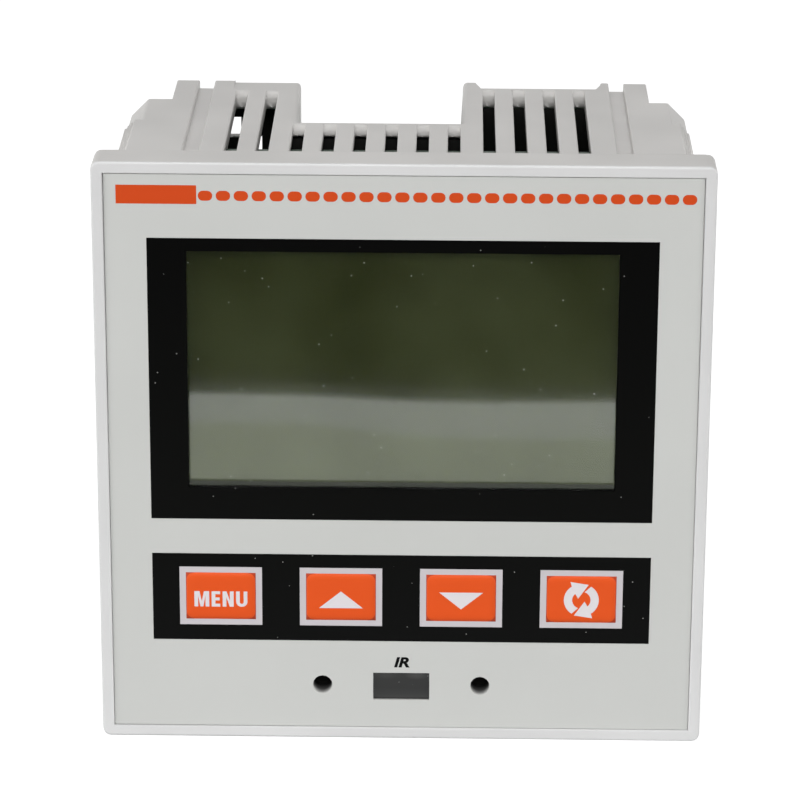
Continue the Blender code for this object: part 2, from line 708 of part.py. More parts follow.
box(
    "processor_chip",
    (-CHIP_SIDE / 2, CHIP_SIDE / 2),
    (BOARD_BACK + FILM_GAP, BOARD_BACK + FILM_GAP + CHIP_THICK),
    (WINDOW_Z - CHIP_SIDE / 2, WINDOW_Z + CHIP_SIDE / 2),
    BLACK_PLASTIC,
)
IR_LED_FRONT = PLATE_BACK + FIT
for side, led_name in ((-1, "ir_emitter"), (1, "ir_receiver")):
    led_place = (side * IR_LED_SPACING / 2, IR_Z)
    led_rings = []
    for step in range(3):
        angle = (step + 1) / 3 * math.pi / 2
        led_rings.append(
            (
                IR_LED_FRONT + IR_LED_RADIUS * (1 - math.cos(angle)),
                circle(IR_LED_RADIUS * math.sin(angle), led_place, 12),
            )
        )
    led_rings.append((BOARD_FRONT - FILM_GAP, circle(IR_LED_RADIUS, led_place, 12)))
    shade(loft(led_name, led_rings, DARK_PANE))


def build_link(name, y_from, y_to, split):
    """A pin header on one board and the socket on the next, meeting at a share of the way."""
    meeting = y_from + (y_to - y_from) * split
    half = LINK_WIDTH / 2
    span = (LINK_Z - LINK_HEIGHT / 2, LINK_Z + LINK_HEIGHT / 2)
    box(name + "_socket", (-half, half), (y_from + FILM_GAP, meeting), span, BLACK_PLASTIC)
    box(name + "_plug", (-half, half), (meeting + FILM_GAP, y_to - FILM_GAP), span, BLACK_PLASTIC)


build_link("board", BOARD_BACK, MAIN_FRONT, 0.5)

# Main board, with the module's socket through the bay's floor
main_board = prism("main_board", rectangle(BOARD_HALF, BOARD_HALF, BOARD_CORNER), MAIN_FRONT, MAIN_BACK, BOARD_GREEN)
box(
    "measuring_chip",
    (-CHIP_SIDE / 2, CHIP_SIDE / 2),
    (MAIN_FRONT - FILM_GAP - CHIP_THICK, MAIN_FRONT - FILM_GAP),
    (WINDOW_Z - CHIP_SIDE / 2, WINDOW_Z + CHIP_SIDE / 2),
    BLACK_PLASTIC,
)
module_half = (BAY_WIDTH / 2 - MODULE_PLUG_MARGIN, MODULE_PLUG_HEIGHT / 2)
expansion = prism(
    "expansion_socket",
    rectangle(*module_half, 0.0, (BAY_X, MODULE_PLUG_Z)),
    MAIN_BACK + FILM_GAP,
    BAY_FLOOR + MODULE_PLUG_STAND,
    BLACK_PLASTIC,
)
cut(
    expansion,
    prism(
        "expansion_slot",
        rectangle(module_half[0] - HEADER_WALL, module_half[1] - HEADER_WALL, 0.0, (BAY_X, MODULE_PLUG_Z)),
        BAY_FLOOR - WALL,
        BAY_FLOOR + MODULE_PLUG_STAND + OVERCUT,
    ),
)

# Supply parts on the main board
CORE_FRONT = MAIN_FRONT - FILM_GAP - CORE_DEPTH
core = prism(
    "transformer_core",
    rectangle(CORE_WIDTH / 2, CORE_HEIGHT / 2, 0.0, (CORE_X, CORE_Z)),
    CORE_FRONT,
    MAIN_FRONT - FILM_GAP,
    FERRITE,
)
core_gap = CORE_WIDTH / 2 - 1.5 * CORE_LIMB
core_windows = [
    rectangle(core_gap / 2, CORE_HEIGHT / 2 - CORE_LIMB, 0.0, (CORE_X + side * (CORE_LIMB / 2 + core_gap / 2), CORE_Z))
    for side in (-1, 1)
]
cut(core, prisms("core_windows", core_windows, CORE_FRONT - OVERCUT, MAIN_FRONT + OVERCUT))
coil_height = CORE_HEIGHT / 2 - CORE_LIMB - FIT
coil = box(
    "transformer_coil",
    (CORE_X - CORE_LIMB / 2 - FIT - COIL_WALL, CORE_X + CORE_LIMB / 2 + FIT + COIL_WALL),
    (CORE_FRONT - FIT - COIL_WALL, MAIN_FRONT - FILM_GAP),
    (CORE_Z - coil_height, CORE_Z + coil_height),
    COIL_TAPE,
)
cut(
    coil,
    box(
        "coil_bore",
        (CORE_X - CORE_LIMB / 2 - FIT, CORE_X + CORE_LIMB / 2 + FIT),
        (CORE_FRONT - FIT, MAIN_FRONT + OVERCUT),
        (CORE_Z - coil_height - OVERCUT, CORE_Z + coil_height + OVERCUT),
    ),
)
for number in range(CAPACITORS):
    can_x = BOARD_HALF - CAPACITOR_MARGIN - CAPACITOR_RADIUS - number * (2 * CAPACITOR_RADIUS + CAPACITOR_SPACE)
    can_z = BOARD_HALF - CAPACITOR_MARGIN - CAPACITOR_RADIUS
    can = prism(
        "supply_capacitor_%d" % (number + 1),
        circle(CAPACITOR_RADIUS, (can_x, can_z), 16),
        MAIN_FRONT - FILM_GAP - CAPACITOR_HEIGHT,
        MAIN_FRONT - FILM_GAP,
        CAPACITOR_SLEEVE,
    )
    shade(can)

# Terminal board round the bay
terminal_board = prism(
    "terminal_board", rectangle(BOARD_HALF, BOARD_HALF, BOARD_CORNER), TERMINAL_FRONT, TERMINAL_BACK, BOARD_GREEN
)
BAY_SHELL_HALF = BAY_WIDTH / 2 + WALL
cut(
    terminal_board,
    box(
        "terminal_board_bay",
        (BAY_X - BAY_SHELL_HALF - BOARD_GAP, BAY_X + BAY_SHELL_HALF + BOARD_GAP),
        (TERMINAL_FRONT - OVERCUT, TERMINAL_BACK + OVERCUT),
        (BAY_BOTTOM - WALL - BOARD_GAP, BODY_HALF),
    ),
    box(
        "terminal_board_top",
        (-BODY_HALF, BODY_HALF),
        (TERMINAL_FRONT - OVERCUT, TERMINAL_BACK + OVERCUT),
        (HEADER_Z + HEADER_HEIGHT / 2 + BOARD_GAP, BODY_HALF),
    ),
)


# Plug-in terminals: a shrouded header with its pins
def build_header(name, centre_x, half_x, poles):
    centre = (centre_x, HEADER_Z)
    header = prism(
        name,
        rectangle(half_x, HEADER_HEIGHT / 2, 0.0, centre),
        TERMINAL_BACK + FILM_GAP,
        HEADER_BACK,
        GREEN_PLASTIC,
    )
    floor = HEADER_BACK - HEADER_CAVITY
    cavity = prism(
        name + "_cavity",
        rectangle(half_x - HEADER_WALL, HEADER_HEIGHT / 2 - HEADER_WALL, 0.0, centre),
        floor,
        HEADER_BACK + OVERCUT,
    )
    pins = prisms(
        name + "_pins",
        [
            rectangle(PIN_SIDE / 2, PIN_SIDE / 2, 0.0, (centre_x + (pole - (poles - 1) / 2) * POLE_PITCH, HEADER_Z))
            for pole in range(poles)
        ],
        floor - HEADER_WALL,
        floor + PIN_LENGTH,
    )
    cut(header, cavity)
    join(header, pins)
    return header


build_header("supply_header", SUPPLY_X, SUPPLY_HEADER_HALF, SUPPLY_POLES)
build_header("voltage_header", VOLTAGE_X, VOLTAGE_HEADER_HALF, VOLTAGE_POLES)

# Fixed current terminals: a block with screws from the back and wire ports from below
block_profile = [
    (TERMINAL_BACK + FILM_GAP, CURRENT_TOP),
    (CURRENT_BACK, CURRENT_TOP),
    (CURRENT_BACK, CURRENT_BOTTOM),
    (TROUGH_FRONT - FIT, CURRENT_BOTTOM),
    (TROUGH_FRONT - FIT, -CAVITY_HALF + FIT),
    (TERMINAL_BACK + FILM_GAP, -CAVITY_HALF + FIT),
]
block = profile_along_x("current_terminals", block_profile, -CURRENT_HALF, CURRENT_HALF, GREEN_PLASTIC)


def pole_x(pole):
    return (pole - (CURRENT_POLES - 1) / 2) * CURRENT_PITCH


WIRE_PORT_Y = CURRENT_BACK - CURRENT_BORE_DEPTH / 2
screw_bores = prisms(
    "screw_bores",
    [circle(CURRENT_BORE_RADIUS, (pole_x(pole), CURRENT_BORE_Z), 16) for pole in range(CURRENT_POLES)],
    CURRENT_BACK - CURRENT_BORE_DEPTH,
    CURRENT_BACK + OVERCUT,
)
wire_ports = boxes(
    "wire_ports",
    [
        (
            (pole_x(pole) - WIRE_PORT_SIDE / 2, pole_x(pole) + WIRE_PORT_SIDE / 2),
            (WIRE_PORT_Y - WIRE_PORT_SIDE / 2, WIRE_PORT_Y + WIRE_PORT_SIDE / 2),
            (CURRENT_BOTTOM - OVERCUT, CURRENT_BOTTOM + WIRE_PORT_DEPTH),
        )
        for pole in range(CURRENT_POLES)
    ],
)
cut(block, screw_bores, wire_ports)
TERMINAL_SCREW_FRONT = CURRENT_BACK - CURRENT_BORE_DEPTH + FIT
TERMINAL_SCREW_BACK = TERMINAL_SCREW_FRONT + TERMINAL_SCREW_LENGTH
for pole in range(CURRENT_POLES):
    place = (pole_x(pole), CURRENT_BORE_Z)
    screw = prism(
        "terminal_screw_%d" % (pole + 1),
        circle(TERMINAL_SCREW_RADIUS, place, 16),
        TERMINAL_SCREW_FRONT,
        TERMINAL_SCREW_BACK,
        STEEL,
    )
    slot = box(
        "terminal_screw_slot_%d" % (pole + 1),
        (place[0] - TERMINAL_SCREW_SLOT / 2, place[0] + TERMINAL_SCREW_SLOT / 2),
        (TERMINAL_SCREW_BACK - TERMINAL_SCREW_SLOT, TERMINAL_SCREW_BACK + OVERCUT),
        (place[1] - TERMINAL_SCREW_RADIUS - OVERCUT, place[1] + TERMINAL_SCREW_RADIUS + OVERCUT),
    )
    cut(screw, slot)
    shade(screw)

# Current transformers: one toroid to a pair of poles, with the primary bar through it
TOROID_BACK = TERMINAL_FRONT - FILM_GAP
for number in range(CURRENT_POLES // 2):
    first = pole_x(2 * number)
    second = pole_x(2 * number + 1)
    toroid = prism(
        "current_transformer_%d" % (number + 1),
        circle(TOROID_RADIUS, (first, CURRENT_BORE_Z), 20),
        TOROID_BACK - TOROID_THICK,
        TOROID_BACK,
        COIL_TAPE,
    )
    cut(
        toroid,
        prism(
            "toroid_bore_%d" % (number + 1),
            circle(TOROID_BORE, (first, CURRENT_BORE_Z), 12),
            TOROID_BACK - TOROID_THICK - OVERCUT,
            TOROID_BACK + OVERCUT,
        ),
    )
    shade(toroid)
    bar_front = TOROID_BACK - BAR_RISE
    across = (CURRENT_BORE_Z - BAR_WIDTH / 2, CURRENT_BORE_Z + BAR_WIDTH / 2)
    bar = box(
        "current_bar_%d" % (number + 1),
        (first - BAR_THICK / 2, second + BAR_THICK / 2),
        (bar_front, TOROID_BACK),
        across,
        COPPER,
    )
    cut(
        bar,
        box(
            "bar_gap_%d" % (number + 1),
            (first + BAR_THICK / 2, second - BAR_THICK / 2),
            (bar_front + BAR_THICK, TOROID_BACK + OVERCUT),
            (across[0] - OVERCUT, across[1] + OVERCUT),
        ),
    )

# Rear housing: one moulding
HOUSING_FRONT = PLATE_BACK + FIT


def stepped_rectangle(half_x, half_z):
    """A rectangle whose corners step down in small rails."""
    corner = []
    for index in range(CORNER_STEPS):
        level = half_z - (CORNER_STEPS - index) * CORNER_STEP
        corner.append((half_x - index * CORNER_STEP, level))
        corner.append((half_x - (index + 1) * CORNER_STEP, level))
    corner.append((half_x - CORNER_STEPS * CORNER_STEP, half_z))
    points = []
    for side, level in ((1, 1), (-1, 1), (-1, -1), (1, -1)):
        quarter = [(side * x, level * z) for x, z in corner]
        points += quarter if side == level else quarter[::-1]
    return points


housing = prism("rear_housing", stepped_rectangle(BODY_WIDE_HALF, BODY_HALF), HOUSING_FRONT, BACK, GREY_SHELL)

corner_wedges = []
for sx in (-1, 1):
    for sz in (-1, 1):
        side, top = sx * (BODY_WIDE_HALF + OVERCUT), sz * (BODY_HALF + OVERCUT)
        reach = CORNER_CHAMFER + 2 * OVERCUT
        corner_wedges.append([(side - sx * reach, top), (side, top - sz * reach), (side, top)])
cut(housing, prisms("corner_wedges", corner_wedges, RAIL_BACK, BACK + OVERCUT))
cut(
    housing,
    boxes(
        "shoulder_cuts",
        [
            (
                (side * REAR_HALF + REAR_OFFSET, side * (BODY_WIDE_HALF + OVERCUT)),
                (SHOULDER_BACK, BACK + OVERCUT),
                (-BODY_HALF - OVERCUT, BODY_HALF + OVERCUT),
            )
            for side in (-1, 1)
        ],
    ),
)

# The cavity follows the outside at one wall, and leaves the bay and the terminal recess their own walls
cavity = prism(
    "housing_cavity",
    rectangle(CAVITY_HALF, CAVITY_HALF),
    HOUSING_FRONT - OVERCUT,
    SHOULDER_BACK - WALL,
)
cavity_rear = prism(
    "housing_cavity_rear",
    rectangle(REAR_CAVITY_HALF, CAVITY_HALF - FILM_GAP),
    SHOULDER_BACK - WALL - OVERCUT,
    BACK - WALL,
)
VOLTAGE_HALF = VOLTAGE_HEADER_HALF + FIT
SUPPLY_HALF = SUPPLY_HEADER_HALF + FIT
HEADER_OPENING_HALF = HEADER_HEIGHT / 2 + FIT
RECESS_BOTTOM = HEADER_Z - HEADER_OPENING_HALF - RECESS_MARGIN
bay_shell = box(
    "bay_shell",
    (BAY_X - BAY_SHELL_HALF, BAY_X + BAY_SHELL_HALF),
    (BAY_FLOOR - WALL, BACK + OVERCUT),
    (BAY_BOTTOM - WALL, BODY_HALF + OVERCUT),
)
recess_shell = box(
    "recess_shell",
    (BAY_X + BAY_SHELL_HALF - OVERCUT, REAR_HALF),
    (RECESS_FLOOR - WALL, BACK + OVERCUT),
    (RECESS_BOTTOM - WALL, BODY_HALF + OVERCUT),
)
join(cavity, cavity_rear)
cut(cavity, bay_shell, recess_shell)
posts = prisms(
    "terminal_board_posts",
    [circle(POST_RADIUS, place, 12) for place in boss_places()],
    TERMINAL_BACK + FIT,
    SHOULDER_BACK - WALL / 2,
)
# Over the blocks at both sides of the bay the roof is thicker, with room left for the boards and their screws
thick_roof_spans = [
    (BOARD_BACK + SCREW_HEAD_THICK + BOARD_GAP, MAIN_FRONT - BOARD_GAP),
    (MAIN_BACK + BOARD_GAP, BACK),
]
thick_roofs = boxes(
    "thick_roofs",
    [
        (side_span, depth_span, (BODY_HALF - ROOF_THICK, BODY_HALF))
        for side_span in ((-BODY_HALF, BAY_LEFT - WALL), (BAY_RIGHT + WALL, BODY_HALF))
        for depth_span in thick_roof_spans
    ],
)
cut(cavity, posts, thick_roofs)
cut(housing, cavity)

# The supply terminal's opening has a keyway at the top
KEYWAY_TOP = HEADER_Z + HEADER_OPENING_HALF + SUPPLY_KEYWAY_HEIGHT
supply_outline = [
    (SUPPLY_X - SUPPLY_HALF, HEADER_Z - HEADER_OPENING_HALF),
    (SUPPLY_X + SUPPLY_HALF, HEADER_Z - HEADER_OPENING_HALF),
    (SUPPLY_X + SUPPLY_HALF, HEADER_Z + HEADER_OPENING_HALF),
    (SUPPLY_X + SUPPLY_KEYWAY_WIDTH / 2, HEADER_Z + HEADER_OPENING_HALF),
    (SUPPLY_X + SUPPLY_KEYWAY_WIDTH / 2, KEYWAY_TOP),
    (SUPPLY_X - SUPPLY_KEYWAY_WIDTH / 2, KEYWAY_TOP),
    (SUPPLY_X - SUPPLY_KEYWAY_WIDTH / 2, HEADER_Z + HEADER_OPENING_HALF),
    (SUPPLY_X - SUPPLY_HALF, HEADER_Z + HEADER_OPENING_HALF),
]

# The bay and the recess over the measuring inputs widen towards their mouths
bay_plan = [
    (BAY_LEFT, BAY_FLOOR),
    (BAY_RIGHT, BAY_FLOOR),
    (BAY_RIGHT + BAY_RIGHT_DRAFT, BACK),
    (BAY_RIGHT + BAY_RIGHT_DRAFT, BACK + OVERCUT),
    (BAY_LEFT - BAY_LEFT_DRAFT, BACK + OVERCUT),
    (BAY_LEFT - BAY_LEFT_DRAFT, BACK),
]
recess_left = VOLTAGE_X - VOLTAGE_HALF
recess_right = VOLTAGE_X + VOLTAGE_HALF
recess_plan = [
    (recess_left + RECESS_SLOPE_WIDTH, RECESS_FLOOR),
    (recess_right - RECESS_SLOPE_WIDTH, RECESS_FLOOR),
    (recess_right, RECESS_FLOOR + RECESS_SLOPE_DEPTH),
    (recess_right, BACK + OVERCUT),
    (recess_left, BACK + OVERCUT),
    (recess_left, RECESS_FLOOR + RECESS_SLOPE_DEPTH),
]
cut(
    housing,
    plan_prism("module_bay", bay_plan, BAY_BOTTOM, BODY_HALF + OVERCUT),
    prism(
        "module_plug_window",
        rectangle(module_half[0] + FIT, module_half[1] + FIT, 0.0, (BAY_X, MODULE_PLUG_Z)),
        BAY_FLOOR - WALL - OVERCUT,
        BAY_FLOOR + OVERCUT,
    ),
    plan_prism("voltage_recess", recess_plan, RECESS_BOTTOM, BODY_HALF + OVERCUT),
    prism(
        "voltage_opening",
        rectangle(VOLTAGE_HALF, HEADER_OPENING_HALF, 0.0, (VOLTAGE_X, HEADER_Z)),
        RECESS_FLOOR - WALL - OVERCUT,
        RECESS_FLOOR + OVERCUT,
    ),
    prism("supply_opening", supply_outline, BACK - WALL - OVERCUT, BACK + OVERCUT),
    box(
        "supply_latch_window",
        (SUPPLY_X - SUPPLY_HALF, SUPPLY_X - SUPPLY_HALF + LATCH_WINDOW_WIDTH),
        (BACK - WALL - OVERCUT, BACK + OVERCUT),
        (KEYWAY_TOP, KEYWAY_TOP + LATCH_WINDOW_HEIGHT),
    ),
    box(
        "current_opening",
        (-CURRENT_HALF - FIT, CURRENT_HALF + FIT),
        (TROUGH_FRONT, BACK + OVERCUT),
        (-BODY_HALF - OVERCUT, CURRENT_TOP + FIT),
    ),
)

# Clamp guides, a groove between two ribs at each side of the top and of the bottom
groove_outer = REAR_HALF - OUTER_RIB_WIDTH
groove_inner = groove_outer - GUIDE_GROOVE_WIDTH
guide_grooves = []
for side in (-1, 1):
    for level in (-1, 1):
        guide_grooves.append(
            (
                (side * groove_inner + REAR_OFFSET, side * groove_outer + REAR_OFFSET),
                (SEAT + GUIDE_GROOVE_START, BACK + OVERCUT),
                (level * (BODY_HALF - GUIDE_GROOVE_DEPTH), level * (BODY_HALF + OVERCUT)),
            )
        )
cut(housing, boxes("guide_grooves", guide_grooves))


# Vents: long and short slots in the top, short ones in the bottom, each rounded over at its rear end
def slot_profile(reach, level, segments=4):
    """Outline of a slot's cutter in Y and Z, from the inside out."""
    inside = level * (BODY_HALF - ROOF_THICK - OVERCUT)
    outside = level * (BODY_HALF + OVERCUT)
    outline = [(SEAT + SLOT_START, outside), (SEAT + SLOT_START, inside), (SEAT + reach, inside)]
    for step in range(segments + 1):
        angle = step / segments * math.pi / 2
        along = SEAT + reach + SLOT_END_RADIUS * (1 - math.cos(angle))
        outline.append((along, level * (BODY_HALF - SLOT_END_RADIUS * (1 - math.sin(angle)))))
    outline.append((SEAT + reach + SLOT_END_RADIUS, outside))
    return outline


def vent_row(name, middle, count, reach, top):
    """A row of slots through the top or the bottom wall."""
    outline = slot_profile(reach, 1 if top else -1)
    mesh_data = bmesh.new()
    for number in range(count):
        slot_x = middle + (number - (count - 1) / 2) * SLOT_PITCH
        add_profile(mesh_data, outline, slot_x - SLOT_WIDTH / 2, slot_x + SLOT_WIDTH / 2)
    return make_object(name, mesh_data)


left_middle = (BAY_LEFT - groove_inner) / 2
right_middle = (BAY_RIGHT + groove_inner) / 2 + RIGHT_SLOT_OFFSET
centre_middle = BAY_X + CENTRE_SLOT_OFFSET
cut(
    housing,
    vent_row("left_vents", left_middle, LEFT_SLOTS, LEFT_SLOT_REACH, True),
    vent_row("centre_vents", centre_middle, CENTRE_SLOTS, CENTRE_SLOT_REACH, True),
    vent_row("right_vents", right_middle, RIGHT_SLOTS, RIGHT_SLOT_REACH, True),
    vent_row("left_lower_vents", left_middle, LEFT_SLOTS, CENTRE_SLOT_REACH, False),
    vent_row("centre_lower_vents", centre_middle, CENTRE_SLOTS, CENTRE_SLOT_REACH, False),
    vent_row("right_lower_vents", right_middle, RIGHT_SLOTS, CENTRE_SLOT_REACH, False),
)

# Back edge over the supply terminals slopes off gently
slope_profile = [
    (BACK - EDGE_SLOPE_LENGTH, BODY_HALF),
    (BACK + OVERCUT, BODY_HALF - EDGE_SLOPE_DROP * (1 + OVERCUT / EDGE_SLOPE_LENGTH)),
    (BACK + OVERCUT, BODY_HALF + OVERCUT),
    (BACK - EDGE_SLOPE_LENGTH, BODY_HALF + OVERCUT),
]
cut(
    housing,
    profile_along_x(
        "edge_slope",
        slope_profile,
        -groove_inner + REAR_OFFSET + INNER_RIB_WIDTH,
        BAY_LEFT + OVERCUT,
    ),
)
join(housing, boxes("snap_noses", snap_boxes(0.0)))
shade(housing)

# Panel gasket behind the bezel's flange
gasket = prism(
    "panel_gasket",
    rectangle(FACE_SIDE / 2 - GASKET_MARGIN, FACE_SIDE / 2 - GASKET_MARGIN, BEZEL_CORNER - GASKET_MARGIN),
    SEAT + FILM_GAP,
    SEAT + FILM_GAP + GASKET_THICK,
    RUBBER,
)
cut(
    gasket,
    prism(
        "gasket_opening",
        rectangle(BODY_WIDE_HALF + FIT, BODY_HALF + FIT),
        SEAT - OVERCUT,
        SEAT + GASKET_THICK + OVERCUT,
    ),
)
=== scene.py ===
"""Finishes, prints and fine forms of a square panel instrument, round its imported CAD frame.

The file follows the instrument as it is put together: housing, gasket, bezel, front foil with its prints,
keys, display, infrared port, the keys' works, boards and terminals. The table, lamps and camera come last.
X runs to the right, Y from the front to the back and Z up, in metres, as in the frame.
"""

import json
import math

import bmesh
import bpy
from mathutils import Matrix, Vector

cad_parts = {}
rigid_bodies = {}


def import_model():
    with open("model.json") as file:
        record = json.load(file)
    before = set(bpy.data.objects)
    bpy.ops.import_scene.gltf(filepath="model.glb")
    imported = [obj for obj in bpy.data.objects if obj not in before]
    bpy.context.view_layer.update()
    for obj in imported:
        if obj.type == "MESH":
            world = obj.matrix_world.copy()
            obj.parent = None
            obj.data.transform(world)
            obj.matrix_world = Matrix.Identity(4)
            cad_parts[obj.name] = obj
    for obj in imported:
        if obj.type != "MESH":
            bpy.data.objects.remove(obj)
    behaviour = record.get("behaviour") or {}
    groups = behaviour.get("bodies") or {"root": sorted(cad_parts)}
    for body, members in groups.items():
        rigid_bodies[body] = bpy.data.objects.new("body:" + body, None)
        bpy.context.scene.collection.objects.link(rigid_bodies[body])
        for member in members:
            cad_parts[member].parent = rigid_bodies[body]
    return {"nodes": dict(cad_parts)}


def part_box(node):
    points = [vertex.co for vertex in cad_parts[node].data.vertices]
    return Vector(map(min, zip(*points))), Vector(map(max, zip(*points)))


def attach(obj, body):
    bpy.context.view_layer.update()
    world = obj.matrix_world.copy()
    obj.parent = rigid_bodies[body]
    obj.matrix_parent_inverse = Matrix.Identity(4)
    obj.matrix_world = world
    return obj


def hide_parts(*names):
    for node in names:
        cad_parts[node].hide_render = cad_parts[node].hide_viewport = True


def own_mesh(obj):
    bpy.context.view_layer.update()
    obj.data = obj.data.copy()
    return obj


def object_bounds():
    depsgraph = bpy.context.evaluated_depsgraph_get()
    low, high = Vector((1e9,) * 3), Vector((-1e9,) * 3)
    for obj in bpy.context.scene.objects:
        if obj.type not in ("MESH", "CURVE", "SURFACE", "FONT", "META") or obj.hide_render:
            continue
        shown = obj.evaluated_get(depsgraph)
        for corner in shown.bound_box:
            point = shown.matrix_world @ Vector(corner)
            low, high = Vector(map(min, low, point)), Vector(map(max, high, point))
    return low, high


for leftover in list(bpy.data.objects):
    bpy.data.objects.remove(leftover, do_unlink=True)
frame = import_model()
cad_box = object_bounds()
MM = 0.001


# Rear housing: one moulding in pale grey flame-retardant plastic, spark-eroded to a fine matt grain. Its
# edges come out of the tool slightly rounded, those at the mouth of the module bay more so.
def place_node(tree, kind, inputs=None, **settings):
    """Adds a node to a tree with its settings. An input is a value or another node's output."""
    node = tree.nodes.new(kind)
    for name, value in settings.items():
        setattr(node, name, value)
    for name, value in (inputs or {}).items():
        if isinstance(value, bpy.types.NodeSocket):
            tree.links.new(value, node.inputs[name])
        else:
            node.inputs[name].default_value = value
    return node


def calculate(tree, operation, *terms):
    """The result of a math node. A term is a value or another node's output."""
    return place_node(tree, "ShaderNodeMath", dict(enumerate(terms)), operation=operation).outputs[0]


def map_range(tree, value, span, target=(0.0, 1.0)):
    """A value carried from one span to another, and held at its ends."""
    ends = {"From Min": span[0], "From Max": span[1], "To Min": target[0], "To Max": target[1]}
    return place_node(tree, "ShaderNodeMapRange", {"Value": value, **ends}).outputs["Result"]


def ramp_colour(tree, value, stops):
    """The colour that a ramp gives to a value, from its stops of place and colour."""
    ramp = place_node(tree, "ShaderNodeValToRGB", {"Fac": value})
    elements = ramp.color_ramp.elements
    for element, (place, colour) in zip(elements, (stops[0], stops[-1])):
        element.position = place
        element.color = (*colour, 1.0)
    for place, colour in stops[1:-1]:
        elements.new(place).color = (*colour, 1.0)
    return ramp.outputs["Color"]


def object_place(tree):
    """The place of a shaded point along the frame's own axes."""
    return place_node(tree, "ShaderNodeTexCoord").outputs["Object"]


def start_group(name, tree_type, inputs, outputs):
    """A node group with its sockets, and its input and output nodes."""
    tree = bpy.data.node_groups.new(name, tree_type)
    for socket_name, socket_type, value in inputs:
        socket = tree.interface.new_socket(socket_name, in_out="INPUT", socket_type=socket_type)
        if value is not None:
            socket.default_value = value
    for socket_name, socket_type in outputs:
        tree.interface.new_socket(socket_name, in_out="OUTPUT", socket_type=socket_type)
    return tree, tree.nodes.new("NodeGroupInput"), tree.nodes.new("NodeGroupOutput")


def build_grain_group():
    """Moulded grain: a fine height for the bump, and a broad tone for a moulding's slow drift."""
    tree, given, result = start_group(
        "moulded_grain",
        "ShaderNodeTree",
        [("Grain Size", "NodeSocketFloat", 0.3 * MM), ("Drift Size", "NodeSocketFloat", 22 * MM)],
        [("Height", "NodeSocketFloat"), ("Drift", "NodeSocketFloat")],
    )
    place = object_place(tree)
    layers = (("Grain Size", 3.0, 0.6, "Height"), ("Drift Size", 2.0, 0.45, "Drift"))
    for size, detail, roughness, output in layers:
        scale = calculate(tree, "DIVIDE", 1.0, given.outputs[size])
        settings = {"Vector": place, "Scale": scale, "Detail": detail, "Roughness": roughness}
        noise = place_node(tree, "ShaderNodeTexNoise", settings)
        tree.links.new(noise.outputs["Fac"], result.inputs[output])
    return tree


GRAIN = build_grain_group()


def start_material(name, slot_colour):
    """A node material with its Principled shader, and its colour in the viewport."""
    made = bpy.data.materials.new(name)
    made.use_nodes = True
    made.diffuse_color = (*slot_colour, 1.0)
    return made, made.node_tree, made.node_tree.nodes["Principled BSDF"]


def drifting_colour(tree, grain, colour, drift):
    """A colour that drifts slowly between a little darker and a little lighter."""
    darker = [channel * (1 - drift) for channel in colour]
    lighter = [min(1.0, channel * (1 + drift)) for channel in colour]
    return ramp_colour(tree, grain.outputs["Drift"], ((0.35, darker), (0.65, lighter)))


def add_bump(tree, shader, height, strength, depth):
    """Gives a shader the relief of a height, up to a depth in metres."""
    bump = place_node(tree, "ShaderNodeBump", {"Strength": strength, "Distance": depth, "Height": height})
    tree.links.new(bump.outputs["Normal"], shader.inputs["Normal"])


def moulded(name, colour, roughness, grain_size=0.3 * MM, relief=0.012 * MM, drift=0.05, specular=0.5):
    """A moulded plastic or rubber: one colour that drifts slightly, with a fine grain."""
    made, tree, shader = start_material(name, colour)
    grain = place_node(tree, "ShaderNodeGroup", {"Grain Size": grain_size}, node_tree=GRAIN)
    tree.links.new(drifting_colour(tree, grain, colour, drift), shader.inputs["Base Color"])
    gloss = map_range(tree, grain.outputs["Height"], (0.3, 0.7), (roughness - 0.05, roughness + 0.05))
    tree.links.new(gloss, shader.inputs["Roughness"])
    add_bump(tree, shader, grain.outputs["Height"], 0.6, relief)
    shader.inputs["Specular IOR Level"].default_value = specular
    return made


WELD_GAP = 0.002 * MM
REAL_EDGE = math.radians(35)


def merged_copy(node_name):
    """A bmesh of a CAD node with its triangles merged, smooth but for its real edges."""
    mesh_data = bmesh.new()
    mesh_data.from_mesh(frame["nodes"][node_name].data)
    bmesh.ops.remove_doubles(mesh_data, verts=mesh_data.verts, dist=WELD_GAP)
    for edge in mesh_data.edges:
        edge.smooth = edge.calc_face_angle(0.0) < REAL_EDGE
    for face in mesh_data.faces:
        face.smooth = True
    return mesh_data


def add_object(name, data):
    """A new object in the scene."""
    made = bpy.data.objects.new(name, data)
    bpy.context.scene.collection.objects.link(made)
    return made


def finish_piece(name, mesh_data, finish, body):
    """Turns a bmesh into a piece of the instrument that rides on a body."""
    mesh = bpy.data.meshes.new(name)
    mesh_data.to_mesh(mesh)
    mesh_data.free()
    piece = add_object(name, mesh)
    mesh.materials.append(finish)
    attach(piece, body)
    return piece


LEAST_LENGTH = 5


